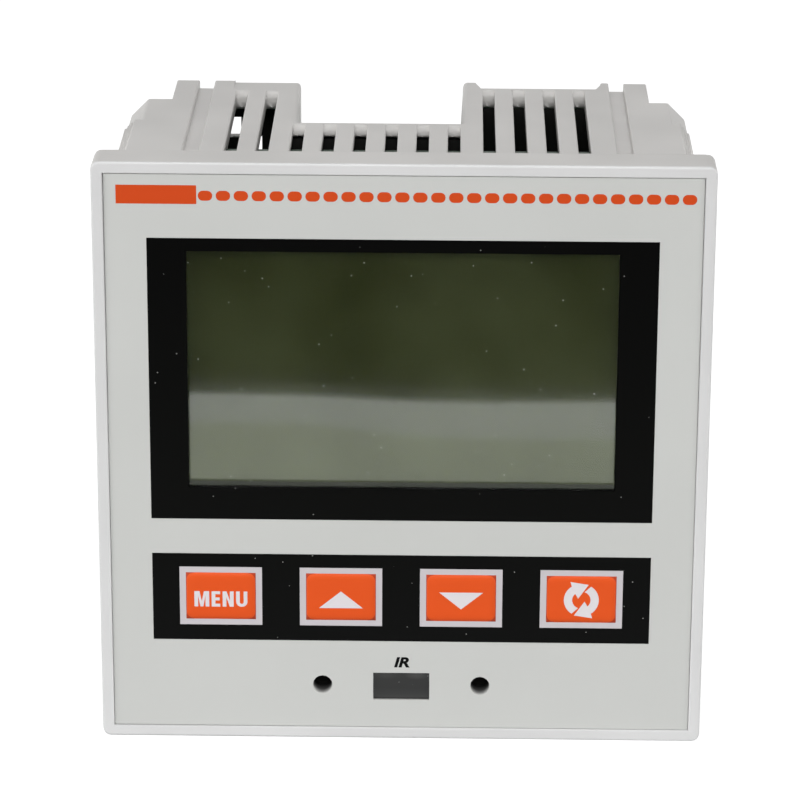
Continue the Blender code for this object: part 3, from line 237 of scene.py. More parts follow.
def soften_edges(piece, width, round_edges=(), round_width=0.0, sharp_edges=()):
    """Rounds the outer edges that are longer than a few widths, and evens the shading of the flats.

    The round edges get the round width in place of the width, and the sharp ones are left out.
    """
    edited = bmesh.new()
    edited.from_mesh(piece.data)
    edited.edges.ensure_lookup_table()
    widest = max(width, round_width)
    weights = edited.edges.layers.float.new("bevel_weight_edge")
    for edge in edited.edges:
        long_enough = edge.calc_length() > LEAST_LENGTH * width
        if not edge.smooth and edge.is_convex and long_enough and edge.index not in sharp_edges:
            edge[weights] = (round_width if edge.index in round_edges else width) / widest
            edge.smooth = True
    edited.to_mesh(piece.data)
    edited.free()
    bevel = piece.modifiers.new("moulded_edges", "BEVEL")
    bevel.limit_method = "WEIGHT"
    bevel.width = widest
    bevel.segments = 3
    bevel.use_clamp_overlap = False
    evened = piece.modifiers.new("even_flats", "WEIGHTED_NORMAL")
    evened.keep_sharp = True


ROOF_LEVEL = 45.0 * MM
BAR_SPAN = (8.5 * MM, 12.5 * MM)
LEVEL_GAP = 0.01 * MM
FLAT_ANGLE = math.radians(0.3)


def on_roof_bar(point):
    """Whether a point lies on the narrow bar of the roof right of the bay."""
    return abs(point.z - ROOF_LEVEL) < LEVEL_GAP and BAR_SPAN[0] < point.x < BAR_SPAN[1]


HOUSING_GREY = moulded("housing_plastic", (0.60, 0.588, 0.572), 0.55)
shell = merged_copy("rear_housing")
# The bar's triangles are joined, so that the rounding of the bay's edge has a whole face beside it.
slivers = [
    edge
    for edge in shell.edges
    if edge.calc_face_angle(1.0) < FLAT_ANGLE and all(on_roof_bar(end.co) for end in edge.verts)
]
bmesh.ops.dissolve_edges(shell, edges=slivers, use_verts=False)
housing = finish_piece("housing_shell", shell, HOUSING_GREY, "case")
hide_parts("rear_housing")


def edges_within(piece, low, high):
    """Numbers of the edges that lie wholly in a box."""
    points = [vertex.co for vertex in piece.data.vertices]
    held = [all(low[axis] <= point[axis] <= high[axis] for axis in range(3)) for point in points]
    return {edge.index for edge in piece.data.edges if held[edge.vertices[0]] and held[edge.vertices[1]]}


BAY_MOUTH = ((-18.4 * MM, 4.0 * MM, 44.5 * MM), (9.4 * MM, 31.0 * MM, 45.1 * MM))
ROOF_STEP = ((-29.3 * MM, 24.8 * MM, 44.6 * MM), (-29.1 * MM, 30.6 * MM, 45.1 * MM))
HOUSING_EDGE = 0.3 * MM
BAY_EDGE = 0.9 * MM
bay_edges = edges_within(housing, *BAY_MOUTH)
soften_edges(housing, HOUSING_EDGE, bay_edges, BAY_EDGE, edges_within(housing, *ROOF_STEP))

SQUARE_ON = 0.99
FACE_GAP = 0.02 * MM
GUIDE_FLOOR_LEVEL = 43.65 * MM
INNER_WALLS = (2.8 * MM, 24.8 * MM, 28.5 * MM)


def is_guide_floor(face):
    """Whether a face is the floor of a clamp guide, in the roof or the underside."""
    return abs(face.normal.z) > SQUARE_ON and abs(abs(face.center.z) - GUIDE_FLOOR_LEVEL) < FACE_GAP


def is_inner_wall(face):
    """Whether a face is a wall that shows through the vents from the front."""
    return face.normal.y < -SQUARE_ON and any(abs(face.center.y - wall) < FACE_GAP for wall in INNER_WALLS)


def refinish(piece, finish, is_chosen):
    """Gives a further finish to the faces of a piece that a test picks."""
    piece.data.materials.append(finish)
    for face in piece.data.polygons:
        if is_chosen(face):
            face.material_index = len(piece.data.materials) - 1


# The floors of the clamp guides take a lighter grey than the grained rest: painted light against the shade
# that falls between the guides' walls.
refinish(housing, moulded("guide_floor_painted_light", (0.74, 0.725, 0.71), 0.5), is_guide_floor)
# The walls behind the vents take a near black as painted shade, for they lie in the shade of the boards.
refinish(housing, moulded("inside_painted_shade", (0.012, 0.012, 0.011), 0.7, specular=0.1), is_inner_wall)

# Panel gasket: a flat ring cut from black cellular rubber. It is pressed against the back of the bezel's
# flange and seals the front in the panel's cut-out.
THIN_EDGE = 0.2 * MM
RUBBER_BLACK = moulded(
    "gasket_rubber", (0.016, 0.016, 0.016), 0.85, grain_size=0.5 * MM, relief=0.05 * MM, specular=0.2
)
gasket = finish_piece("gasket_ring", merged_copy("panel_gasket"), RUBBER_BLACK, "case")
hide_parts("panel_gasket")
soften_edges(gasket, THIN_EDGE)

# Bezel: the square frame round the foil with the plate behind it, moulded in one piece in the housing's
# plastic. Its front has a finer grain and a lighter grey than the housing. Its four sides carry the housing's
# darker grey as painted shade, since they get less light than the front.
BEZEL_GREY = moulded(
    "bezel_plastic", (0.661, 0.660, 0.661), 0.45, grain_size=0.22 * MM, relief=0.006 * MM, drift=0.025
)
FRAME_SIDES = 47.4 * MM
bezel = finish_piece("bezel_frame", merged_copy("front_bezel"), BEZEL_GREY, "case")
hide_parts("front_bezel")
soften_edges(bezel, THIN_EDGE)


def is_frame_side(face):
    """Whether a face is one of the frame's four outer sides."""
    return abs(face.normal.y) < 0.1 and max(abs(face.center.x), abs(face.center.z)) > FRAME_SIDES


# The frame's four sides take the housing's darker grey: painted shade.
refinish(bezel, HOUSING_GREY, is_frame_side)


# Front foil: one sheet of matt textured polyester, printed on its back and stuck into the bezel. Each colour
# is a layer of ink, here a film of its own that stands about a hundredth of a millimetre proud.
def film(name, outer, openings, y_front, thickness, finish, slot_name):
    """A closed film with square openings: sides are given as x low, x high, z low, z high."""
    columns = sorted({outer[0], outer[1], *(side for o in openings for side in o[:2])})
    rows = sorted({outer[2], outer[3], *(side for o in openings for side in o[2:])})
    mesh_data = bmesh.new()
    grid = {(x, z): mesh_data.verts.new((x, y_front, z)) for x in columns for z in rows}
    for left, right in zip(columns, columns[1:]):
        for low, high in zip(rows, rows[1:]):
            middle = ((left + right) / 2, (low + high) / 2)
            if any(o[0] < middle[0] < o[1] and o[2] < middle[1] < o[3] for o in openings):
                continue
            corners = ((left, low), (right, low), (right, high), (left, high))
            mesh_data.faces.new([grid[corner] for corner in corners])
    bmesh.ops.delete(mesh_data, geom=[v for v in mesh_data.verts if not v.link_faces], context="VERTS")
    thicken(mesh_data, thickness)
    finish_piece(name, mesh_data, finish, "case")


def thicken(mesh_data, thickness):
    """Gives a flat bmesh facing the front its back and its sides."""
    grown = bmesh.ops.extrude_face_region(mesh_data, geom=list(mesh_data.faces))
    for item in grown["geom"]:
        if isinstance(item, bmesh.types.BMVert):
            item.co.y += thickness
    bmesh.ops.recalc_face_normals(mesh_data, faces=mesh_data.faces)


def mix_colours(tree, mask, first, second):
    """Blends two colours by a mask. Each is a value or another node's output."""
    # The colours' sockets of a mix node are told apart by number alone.
    mixed = place_node(tree, "ShaderNodeMix", {"Factor": mask, 6: first, 7: second}, data_type="RGBA")
    return mixed.outputs[2]


def build_dust_group():
    """Dust: a few pale specks of uneven size, spread at random through space."""
    tree, given, result = start_group(
        "dust_specks",
        "ShaderNodeTree",
        [("Spacing", "NodeSocketFloat", 4 * MM), ("Speck", "NodeSocketFloat", 0.05)],
        [("Mask", "NodeSocketFloat")],
    )
    scale = calculate(tree, "DIVIDE", 1.0, given.outputs["Spacing"])
    cells = place_node(tree, "ShaderNodeTexVoronoi", {"Vector": object_place(tree), "Scale": scale})
    near = calculate(tree, "LESS_THAN", cells.outputs["Distance"], given.outputs["Speck"])
    tree.links.new(near, result.inputs["Mask"])
    return tree


DUST = build_dust_group()


def dusty(tree, colour, spacing, speck, tint):
    """A colour under specks of dust, whose size is a share of their spacing."""
    specks = place_node(tree, "ShaderNodeGroup", {"Spacing": spacing, "Speck": speck}, node_tree=DUST)
    return mix_colours(tree, specks.outputs["Mask"], colour, (*tint, 1.0))


def ink(name, colour, roughness=0.45, specular=0.3, dust=0.0):
    """Ink under matt foil: a fine even texture over a flat colour, with dust where the colour is dark."""
    made, tree, shader = start_material(name, colour)
    sizes = {"Grain Size": 0.12 * MM, "Drift Size": 30 * MM}
    grain = place_node(tree, "ShaderNodeGroup", sizes, node_tree=GRAIN)
    covered = drifting_colour(tree, grain, colour, 0.015)
    if dust:
        covered = dusty(tree, covered, 2.2 * MM, dust, (0.33, 0.33, 0.32))
    tree.links.new(covered, shader.inputs["Base Color"])
    add_bump(tree, shader, grain.outputs["Height"], 0.4, 0.004 * MM)
    shader.inputs["Roughness"].default_value = roughness
    shader.inputs["Specular IOR Level"].default_value = specular
    return made


INK_GREY = ink("foil_grey_ink", (0.575, 0.582, 0.564))
INK_BLACK = ink("foil_black_ink", (0.0015, 0.0015, 0.0015), 0.4, 0.05, dust=0.04)
INK_ORANGE = ink("foil_orange_ink", (0.61, 0.067, 0.0115), 0.5, 0.15)
INK_KEY = ink("key_orange_ink", (0.75, 0.090, 0.0145), 0.5, 0.15)
# A darker orange: painted shade where the key pillows rise from the foil.
INK_CORNER_SHADE = ink("key_corner_painted_shade", (0.47, 0.058, 0.022), 0.5, 0.1)
INK_LIGHT = ink("foil_light_ink", (0.575, 0.545, 0.57), 0.5, 0.3)
INK_SIGN = ink("sign_light_ink", (0.73, 0.695, 0.72), 0.5, 0.3)

foil = finish_piece("foil_sheet", merged_copy("front_overlay"), INK_GREY, "case")
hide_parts("front_overlay")
FOIL_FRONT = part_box("front_overlay")[0].y
INK = 0.012 * MM
BORDER = (-39.6 * MM, 39.45 * MM, -10.49 * MM, 35.84 * MM)
WINDOW = (-33.6 * MM, 33.4 * MM, -5.2 * MM, 33.8 * MM)
LINING_LAP = 0.03 * MM
LINING_REVEAL = 0.05 * MM
LINING_DEPTH = 0.4 * MM


def grow_sides(sides, distance):
    """Sides moved outwards by a distance, or inwards where it is negative."""
    return sides[0] - distance, sides[1] + distance, sides[2] - distance, sides[3] + distance


film("display_border", BORDER, [WINDOW], FOIL_FRONT - INK, 2 * INK, INK_BLACK, "black_plastic")
lining_outer = grow_sides(WINDOW, LINING_LAP)
lining_inner = grow_sides(WINDOW, -LINING_REVEAL)
lining = (lining_outer, [lining_inner])
film("window_lining", *lining, FOIL_FRONT - INK, LINING_DEPTH, INK_BLACK, "black_plastic")

KEY_NODES = ("key_menu", "key_up", "key_down", "key_page")
KEY_BAR = (-39.6 * MM, 39.45 * MM, -31.16 * MM, -16.36 * MM)
FIELD_HALF = (5.55 * MM, 3.98 * MM)
MARGIN_HALF = (6.55 * MM, 4.95 * MM)


def middle_of(node_name):
    """Centre of a CAD node in X and Z."""
    low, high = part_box(node_name)
    return (low.x + high.x) / 2, (low.z + high.z) / 2


def sides_round(centre, half):
    """The sides of a rectangle round a centre."""
    return centre[0] - half[0], centre[0] + half[0], centre[1] - half[1], centre[1] + half[1]


key_fields = [sides_round(middle_of(name), FIELD_HALF) for name in KEY_NODES]
key_margins = [sides_round(middle_of(name), MARGIN_HALF) for name in KEY_NODES]
film("key_bar", KEY_BAR, key_margins, FOIL_FRONT - INK, 2 * INK, INK_BLACK, "black_plastic")
for name, margin, field in zip(KEY_NODES, key_margins, key_fields):
    film(name + "_margin", margin, [field], FOIL_FRONT - INK, 2 * INK, INK_LIGHT, "white_plastic")


# Dashes: a row of pill-shaped marks along the top of the foil, with a plain block ahead of them at the left.
# Both are printed with the foil, in one orange ink.
def build_dash_tree(finish):
    """A row of pills along X, each a filled outline with its thickness."""
    tree, given, result = start_group(
        "dash_row",
        "GeometryNodeTree",
        [
            ("Geometry", "NodeSocketGeometry", None),
            ("Count", "NodeSocketInt", 28),
            ("Pitch", "NodeSocketFloat", 2.752 * MM),
            ("Length", "NodeSocketFloat", 2.22 * MM),
            ("Height", "NodeSocketFloat", 1.6 * MM),
            ("Corner", "NodeSocketFloat", 0.78 * MM),
            ("Thickness", "NodeSocketFloat", 2 * INK),
            ("Start", "NodeSocketVector", (0.0, 0.0, 0.0)),
        ],
        [("Geometry", "NodeSocketGeometry")],
    )
    tree.is_modifier = True
    sizes = given.outputs
    step = place_node(tree, "ShaderNodeCombineXYZ", {"X": sizes["Pitch"]}).outputs[0]
    row = place_node(
        tree,
        "GeometryNodeMeshLine",
        {"Count": sizes["Count"], "Start Location": sizes["Start"], "Offset": step},
    )
    outline = place_node(
        tree, "GeometryNodeCurvePrimitiveQuadrilateral", {"Width": sizes["Length"], "Height": sizes["Height"]}
    )
    rounded = place_node(
        tree,
        "GeometryNodeFilletCurve",
        {"Curve": outline.outputs["Curve"], "Radius": sizes["Corner"], "Count": 6},
        mode="POLY",
    )
    filled = place_node(tree, "GeometryNodeFillCurve", {"Curve": rounded.outputs["Curve"]}, mode="NGONS")
    upright = place_node(
        tree,
        "GeometryNodeTransform",
        {"Geometry": filled.outputs["Mesh"], "Rotation": (math.radians(90), 0.0, 0.0)},
    )
    raised = place_node(
        tree,
        "GeometryNodeExtrudeMesh",
        {"Mesh": upright.outputs["Geometry"], "Offset Scale": sizes["Thickness"], "Individual": False},
    )
    turned = place_node(tree, "GeometryNodeFlipFaces", {"Mesh": upright.outputs["Geometry"]})
    body = place_node(tree, "GeometryNodeJoinGeometry")
    tree.links.new(raised.outputs["Mesh"], body.inputs["Geometry"])
    tree.links.new(turned.outputs["Mesh"], body.inputs["Geometry"])
    closed = place_node(
        tree, "GeometryNodeMergeByDistance", {"Geometry": body.outputs["Geometry"], "Distance": 0.001 * MM}
    )
    spread = place_node(
        tree,
        "GeometryNodeInstanceOnPoints",
        {"Points": row.outputs["Mesh"], "Instance": closed.outputs["Geometry"]},
    )
    real = place_node(tree, "GeometryNodeRealizeInstances", {"Geometry": spread.outputs["Instances"]})
    dressed = place_node(
        tree, "GeometryNodeSetMaterial", {"Geometry": real.outputs["Geometry"], "Material": finish}
    )
    tree.links.new(dressed.outputs["Geometry"], result.inputs["Geometry"])
    return tree


def take_mesh(maker):
    """A bmesh of what an object turns into; the object itself is removed."""
    grown = bpy.data.meshes.new_from_object(maker.evaluated_get(bpy.context.evaluated_depsgraph_get()))
    mesh_data = bmesh.new()
    mesh_data.from_mesh(grown)
    bpy.data.objects.remove(maker, do_unlink=True)
    return mesh_data


def grow_piece(name, tree, values, finish, body):
    """Runs a Geometry Nodes tree with its sizes, and keeps the result as a plain mesh."""
    seed = add_object(name + "_tree", bpy.data.meshes.new(name + "_tree"))
    modifier = seed.modifiers.new(name, "NODES")
    modifier.node_group = tree
    sockets = {item.name: item.identifier for item in tree.interface.items_tree if item.in_out == "INPUT"}
    for value_name, value in values.items():
        modifier[sockets[value_name]] = value
    finish_piece(name, take_mesh(seed), finish, body)


DASH_START = (-30.46 * MM, FOIL_FRONT + INK, 42.65 * MM)
grow_piece("dash_row", build_dash_tree(INK_ORANGE), {"Start": DASH_START}, INK_ORANGE, "case")
BLOCK = (-44.2 * MM, -31.8 * MM, 41.3 * MM, 44.3 * MM)
film("plain_block", BLOCK, [], FOIL_FRONT - INK, 2 * INK, INK_ORANGE, "key_orange")


# Keys: the foil is embossed into a low pillow over each key cap, printed orange with a light sign.
DOME_HALF = (5.45 * MM, 3.9 * MM)
DOME_CORNER = 1.15 * MM
LEAST_CORNER = 0.25 * MM
DOME_RISE = 0.33 * MM
DOME_SLOPE = 1.15 * MM
DOME_SKIN = 0.02 * MM
FOOT_LAP = 0.05 * MM
CORNER_STEPS = 8
SLOPE_STEPS = 9
NEAR_ZERO = 1e-6


def corner_steps():
    """The way round a rounded rectangle: the side of each corner in X and Z, and each angle on it."""
    for quarter, side in enumerate(((1, 1), (-1, 1), (-1, -1), (1, -1))):
        for step in range(CORNER_STEPS + 1):
            yield side, (quarter + step / CORNER_STEPS) * math.pi / 2


def pillow_ring(centre, inset, depth):
    """One ring of the pillow: a rounded rectangle drawn in by an inset."""
    corner = max(DOME_CORNER - inset, LEAST_CORNER)
    half_x = DOME_HALF[0] - inset
    half_z = DOME_HALF[1] - inset
    ring = []
    for (side_x, side_z), angle in corner_steps():
        x = centre[0] + side_x * (half_x - corner) + corner * math.cos(angle)
        z = centre[1] + side_z * (half_z - corner) + corner * math.sin(angle)
        ring.append((x, depth, z))
    return ring


def square_ring(centre, depth):
    """The pillow's foot on the flat foil: the printed field with its square corners."""
    straight = (DOME_HALF[0] - DOME_CORNER, DOME_HALF[1] - DOME_CORNER)
    ring = []
    for (side_x, side_z), angle in corner_steps():
        across, up = math.cos(angle), math.sin(angle)
        reach_x = (FIELD_HALF[0] + FOOT_LAP - straight[0]) / max(abs(across), NEAR_ZERO)
        reach_z = (FIELD_HALF[1] + FOOT_LAP - straight[1]) / max(abs(up), NEAR_ZERO)
        reach = min(reach_x, reach_z)
        x = centre[0] + side_x * straight[0] + reach * across
        z = centre[1] + side_z * straight[1] + reach * up
        ring.append((x, depth, z))
    return ring


def join_rings(mesh_data, ring, following):
    """Faces between two rings with as many points."""
    for index in range(len(ring)):
        after = (index + 1) % len(ring)
        mesh_data.faces.new((ring[index], ring[after], following[after], following[index]))


def build_pillow(name, centre):
    """The pillow over a key cap: a thin skin with a round slope up to its flat top, and a darker orange as
    painted shade at the corners and ends of its foot.
    """
    foil_level = FOIL_FRONT - INK / 2
    rings = [square_ring(centre, foil_level), pillow_ring(centre, 0.0, foil_level)]
    for step in range(1, SLOPE_STEPS + 1):
        share = step / SLOPE_STEPS
        rise = math.sqrt(1 - (1 - share) ** 2)
        rings.append(pillow_ring(centre, DOME_SLOPE * share, foil_level - DOME_RISE * rise))
    mesh_data = bmesh.new()
    front = [[mesh_data.verts.new(point) for point in ring] for ring in rings]
    back = [[mesh_data.verts.new((x, y + DOME_SKIN, z)) for x, y, z in ring] for ring in rings]
    for skin in (front, back):
        for ring, following in zip(skin, skin[1:]):
            join_rings(mesh_data, ring, following)
        mesh_data.faces.new(skin[-1])
    join_rings(mesh_data, front[0], back[0])
    bmesh.ops.recalc_face_normals(mesh_data, faces=mesh_data.faces)
    # The foot's faces at the corners and ends take the darker orange: painted shade where the pillow rises.
    foot = set(front[0] + front[1])
    for face in mesh_data.faces:
        face.smooth = len(face.verts) == 4
        beside = abs(face.calc_center_median().x - centre[0]) > DOME_HALF[0] - DOME_CORNER
        if beside and foot.issuperset(face.verts):
            face.material_index = 1
    pillow = finish_piece(name, mesh_data, INK_KEY, "case")
    pillow.data.materials.append(INK_CORNER_SHADE)
    press(pillow)


def press(piece):
    """Gives the piece a mesh of its own."""
    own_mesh(piece)


def letters(centre, height, word):
    """Outlines of bold narrow capitals, set from the left and centred."""
    stem, bar = 0.60 * MM, 0.50 * MM
    widths = {"M": 2.37 * MM, "E": 1.37 * MM, "N": 1.76 * MM, "U": 1.81 * MM}
    gap = 0.38 * MM
    total = sum(widths[letter] for letter in word) + gap * (len(word) - 1)
    left = centre[0] - total / 2
    base = centre[1] - height / 2
    outlines = []
    for letter in word:
        w, h = widths[letter], height
        bowl = [(math.cos(t * math.pi / 8), math.sin(t * math.pi / 8)) for t in range(9)]
        shapes = {
            "M": [(0, 0), (0, h), (0.35 * w, h), (w / 2, 0.36 * h), (0.65 * w, h), (w, h), (w, 0)]
            + [(w - stem, 0), (w - stem, 0.72 * h), (0.60 * w, 0), (0.40 * w, 0)]
            + [(stem, 0.72 * h), (stem, 0)],
            "E": [(0, 0), (0, h), (w, h), (w, h - bar), (stem, h - bar), (stem, (h + bar) / 2)]
            + [(0.93 * w, (h + bar) / 2), (0.93 * w, (h - bar) / 2), (stem, (h - bar) / 2)]
            + [(stem, bar), (w, bar), (w, 0)],
            "N": [(0, 0), (0, h), (0.36 * w, h), (w - stem, 0.38 * h), (w - stem, h), (w, h), (w, 0)]
            + [(0.64 * w, 0), (stem, 0.62 * h), (stem, 0)],
            "U": [(0, h), (stem, h), (stem, 0.30 * h)]
            + [(w / 2 - (w / 2 - stem) * c, 0.30 * h - (0.30 * h - bar) * s) for c, s in bowl]
            + [(w - stem, 0.30 * h), (w - stem, h), (w, h), (w, 0.32 * h)]
            + [(w / 2 + w / 2 * c, 0.32 * h - 0.32 * h * s) for c, s in bowl]
            + [(0, 0.32 * h)],
        }
        outline = shapes[letter]
        tidy = [point for index, point in enumerate(outline) if point != outline[index - 1]]
        outlines.append([(left + x, base + z) for x, z in tidy])
        left += w + gap
    return outlines


def triangle(centre, upward):
    """The sign on the up and the down key."""
    half, base, tip = 3.5 * MM, 1.8 * MM, 1.08 * MM
    left, right = centre[0] - half, centre[0] + half
    low, high = centre[1] - base, centre[1] + tip
    if upward:
        return [(left, low), (right, low), (centre[0], high)]
    return [(left, high), (centre[0], low), (right, high)]


def arc(radius, start, stop, steps=16):
    """Points of an arc between two angles in degrees."""
    angles = [math.radians(start + (stop - start) * step / steps) for step in range(steps + 1)]
    return [(radius * math.cos(angle), radius * math.sin(angle)) for angle in angles]


def cycle_arrows(centre):
    """Two bent arrows that chase each other round a ring."""
    outer, inner = 2.78 * MM, 1.46 * MM
    head = [(-1.77 * MM, 3.10 * MM), (1.12 * MM, 2.63 * MM), (-0.52 * MM, 0.24 * MM)]
    arrow = arc(outer, 237, 124) + head + arc(inner, 133, 250)
    turned = [(-x, -z) for x, z in arrow]
    return [[(centre[0] + x, centre[1] + z) for x, z in one] for one in (arrow, turned)]


for name in KEY_NODES:
    build_pillow(name + "_pillow", middle_of(name))

SIGN_FRONT = FOIL_FRONT - INK / 2 - DOME_RISE - 0.008 * MM
SIGN_THICK = 0.012 * MM
WORD_DROP = 0.42 * MM
WORD_HEIGHT = 2.63 * MM
menu_x, menu_z = middle_of("key_menu")
signs = {
    "key_menu": letters((menu_x, menu_z - WORD_DROP), WORD_HEIGHT, "MENU"),
    "key_up": [triangle(middle_of("key_up"), True)],
    "key_down": [triangle(middle_of("key_down"), False)],
    "key_page": cycle_arrows(middle_of("key_page")),
}
for name, outlines in signs.items():
    sign_data = bmesh.new()
    for outline in outlines:
        sign_data.faces.new([sign_data.verts.new((x, SIGN_FRONT, z)) for x, z in outline])
    thicken(sign_data, SIGN_THICK)
    press(finish_piece(name + "_sign", sign_data, INK_SIGN, "case"))


# Display: a twisted-nematic glass cell with its polariser film, on a light guide in a white carrier. A clear
# acrylic pane covers it, whose slight wave bends the reflection of the table.
def clear_acrylic():
    """Clear acrylic with a slow wave in its surface."""
    made, tree, shader = start_material("clear_acrylic", (0.9, 0.9, 0.9))
    wave_size, wave_depth = 75 * MM, 0.30 * MM
    wave = place_node(
        tree, "ShaderNodeTexNoise", {"Vector": object_place(tree), "Scale": 1 / wave_size, "Detail": 0.0}
    )
    add_bump(tree, shader, wave.outputs["Fac"], 1.0, wave_depth)
    shader.inputs["Base Color"].default_value = (1.0, 1.0, 1.0, 1.0)
    shader.inputs["Roughness"].default_value = 0.03
    shader.inputs["IOR"].default_value = 1.49
    shader.inputs["Specular Tint"].default_value = (0.98, 1.0, 0.93, 1.0)
    shader.inputs["Transmission Weight"].default_value = 1.0
    return made


def polariser():
    """Dark olive film that drifts in tone, with dust settled before it."""
    made, tree, shader = start_material("display_polariser", (0.05, 0.055, 0.03))
    grain = place_node(tree, "ShaderNodeGroup", {"Drift Size": 26 * MM}, node_tree=GRAIN)
    stops = ((0.36, (0.034, 0.040, 0.011)), (0.66, (0.062, 0.072, 0.030)))
    olive = ramp_colour(tree, grain.outputs["Drift"], stops)
    settled = dusty(tree, olive, 2.0 * MM, 0.05, (0.62, 0.62, 0.56))
    tree.links.new(settled, shader.inputs["Base Color"])
    shader.inputs["Roughness"].default_value = 0.08
    return made


def dress(node_names, finish):
    """Gives CAD nodes their finish."""
    for node_name in node_names:
        for material_slot in frame["nodes"][node_name].material_slots:
            material_slot.material = finish


def numbered(stem, count):
    """Names of a row of like CAD nodes."""
    return ["%s_%d" % (stem, number) for number in range(1, count + 1)]


dress(["display_window"], clear_acrylic())
dress(["display_glass"], moulded("cell_glass", (0.018, 0.018, 0.020), 0.15, relief=0.0, drift=0.02))
CELL_MARGIN = 1.0 * MM
CELL_STRIP = 0.4 * MM
FILM_LEAD = 0.12 * MM
FILM_THICK = 0.1 * MM
cell_low, cell_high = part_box("display_glass")
POLARISER = (
    cell_low.x + CELL_MARGIN,
    cell_high.x - CELL_MARGIN,
    WINDOW[2] + CELL_STRIP,
    cell_high.z - CELL_MARGIN,
)
film("polariser_film", POLARISER, [], cell_low.y - FILM_LEAD, FILM_THICK, polariser(), "display_glass")
WHITE = moulded("white_carrier_plastic", (0.78, 0.78, 0.77), 0.5)
dress(["light_guide", "display_carrier", "backlight_led_left", "backlight_led_right"], WHITE)
dress(["contact_strip_upper", "contact_strip_lower"], RUBBER_BLACK)

# Infrared port: a smoked acrylic pane with an emitter and a receiver behind it and its name printed above.
# It sits between two locating sockets that are moulded into the bezel.
SMOKED = moulded("smoked_acrylic", (0.017, 0.017, 0.017), 0.12, relief=0.0, drift=0.03, specular=0.23)
dress(["ir_emitter", "ir_receiver"], SMOKED)
PORT_LOW, PORT_HIGH = -41.35 * MM, -36.65 * MM
LENSES = ((-2.4 * MM, 0.35), (2.5 * MM, 0.9))
LENS_LEVEL, LENS_HAZE = -36.9 * MM, 1.2 * MM
LENS_STRETCH = 0.55


def smoked_pane():
    """Smoked acrylic, a little lighter towards its upper and lower edges and before the two lenses behind it.
    """
    made, tree, shader = start_material("smoked_pane", (0.017, 0.017, 0.017))
    place = object_place(tree)
    height = place_node(tree, "ShaderNodeSeparateXYZ", {"Vector": place}).outputs["Z"]
    rise = map_range(tree, height, (PORT_LOW, PORT_HIGH))
    greys = [(stop, (grey, grey, grey)) for stop, grey in ((0.14, 0.025), (0.4, 0.0165), (0.75, 0.018))]
    shade = ramp_colour(tree, rise, [(0.0, (0.036, 0.036, 0.035)), *greys, (1.0, (0.027, 0.027, 0.026))])
    stretch = (LENS_STRETCH, 0.0, 1.0)
    flat = place_node(tree, "ShaderNodeVectorMath", {0: place, 1: stretch}, operation="MULTIPLY").outputs[0]
    for lens, strength in LENSES:
        centre = (LENS_STRETCH * lens, 0.0, LENS_LEVEL)
        away = place_node(tree, "ShaderNodeVectorMath", {0: flat, 1: centre}, operation="DISTANCE")
        haze = map_range(tree, away.outputs["Value"], (LENS_HAZE, 0.0), (0.0, strength))
        shade = mix_colours(tree, haze, shade, (0.062, 0.062, 0.061, 1.0))
    shade = dusty(tree, shade, 1.7 * MM, 0.05, (0.16, 0.16, 0.155))
    tree.links.new(shade, shader.inputs["Base Color"])
    shader.inputs["Roughness"].default_value = 0.12
    shader.inputs["Specular IOR Level"].default_value = 0.23
    return made


dress(["ir_window"], smoked_pane())
word = bpy.data.curves.new("ir_word", "FONT")
word.body = "IR"
word.size = 2.25 * MM
word.shear = 0.22
word.offset = 0.09 * MM
word.align_x = "CENTER"
WORD_PLACE = (-0.04 * MM, FOIL_FRONT - INK, -35.6 * MM)
WORD_STRETCH = (1.24, 1.04, 1.0, 1.0)
word_data = take_mesh(add_object("ir_word", word))
upright = Matrix.Rotation(math.radians(90), 4, "X")
word_data.transform(Matrix.Translation(WORD_PLACE) @ upright @ Matrix.Diagonal(WORD_STRETCH))
thicken(word_data, 2 * INK)
finish_piece("ir_word", word_data, INK_BLACK, "case")


def turned_ring(mesh_data, profile, centre, steps=40):
    """A closed body turned round an axis along Y, from a closed profile of radius and depth."""
    rings = []
    for step in range(steps):
        angle = 2 * math.pi * step / steps
        across, up = math.cos(angle), math.sin(angle)
        points = [(centre[0] + radius * across, depth, centre[1] + radius * up) for radius, depth in profile]
        rings.append([mesh_data.verts.new(point) for point in points])
    for step, ring in enumerate(rings):
        join_rings(mesh_data, ring, rings[(step + 1) % steps])


# Each locating socket holds a thin shell of painted shade that darkens the hole from its mouth to its end.
SOCKET_PLACES = ((-12.6 * MM, -38.75 * MM), (12.6 * MM, -38.75 * MM))
SHADE_MOUTH, SHADE_END = FOIL_FRONT + 0.35 * MM, FOIL_FRONT + 3.6 * MM
SHADE_OUTSIDE = 1.53 * MM
MOUTH_RADIUS, END_RADIUS = 1.51 * MM, 1.46 * MM
NEAR_AXIS = 0.001 * MM
END_WALL = 0.1 * MM
SHADE_PROFILE = [
    (SHADE_OUTSIDE, SHADE_MOUTH),
    (SHADE_OUTSIDE, SHADE_END),
    (NEAR_AXIS, SHADE_END),
    (NEAR_AXIS, SHADE_END - END_WALL),
    (END_RADIUS, SHADE_END - END_WALL),
    (MOUTH_RADIUS, SHADE_MOUTH),
]
DARK_DEPTH = 2.6 * MM


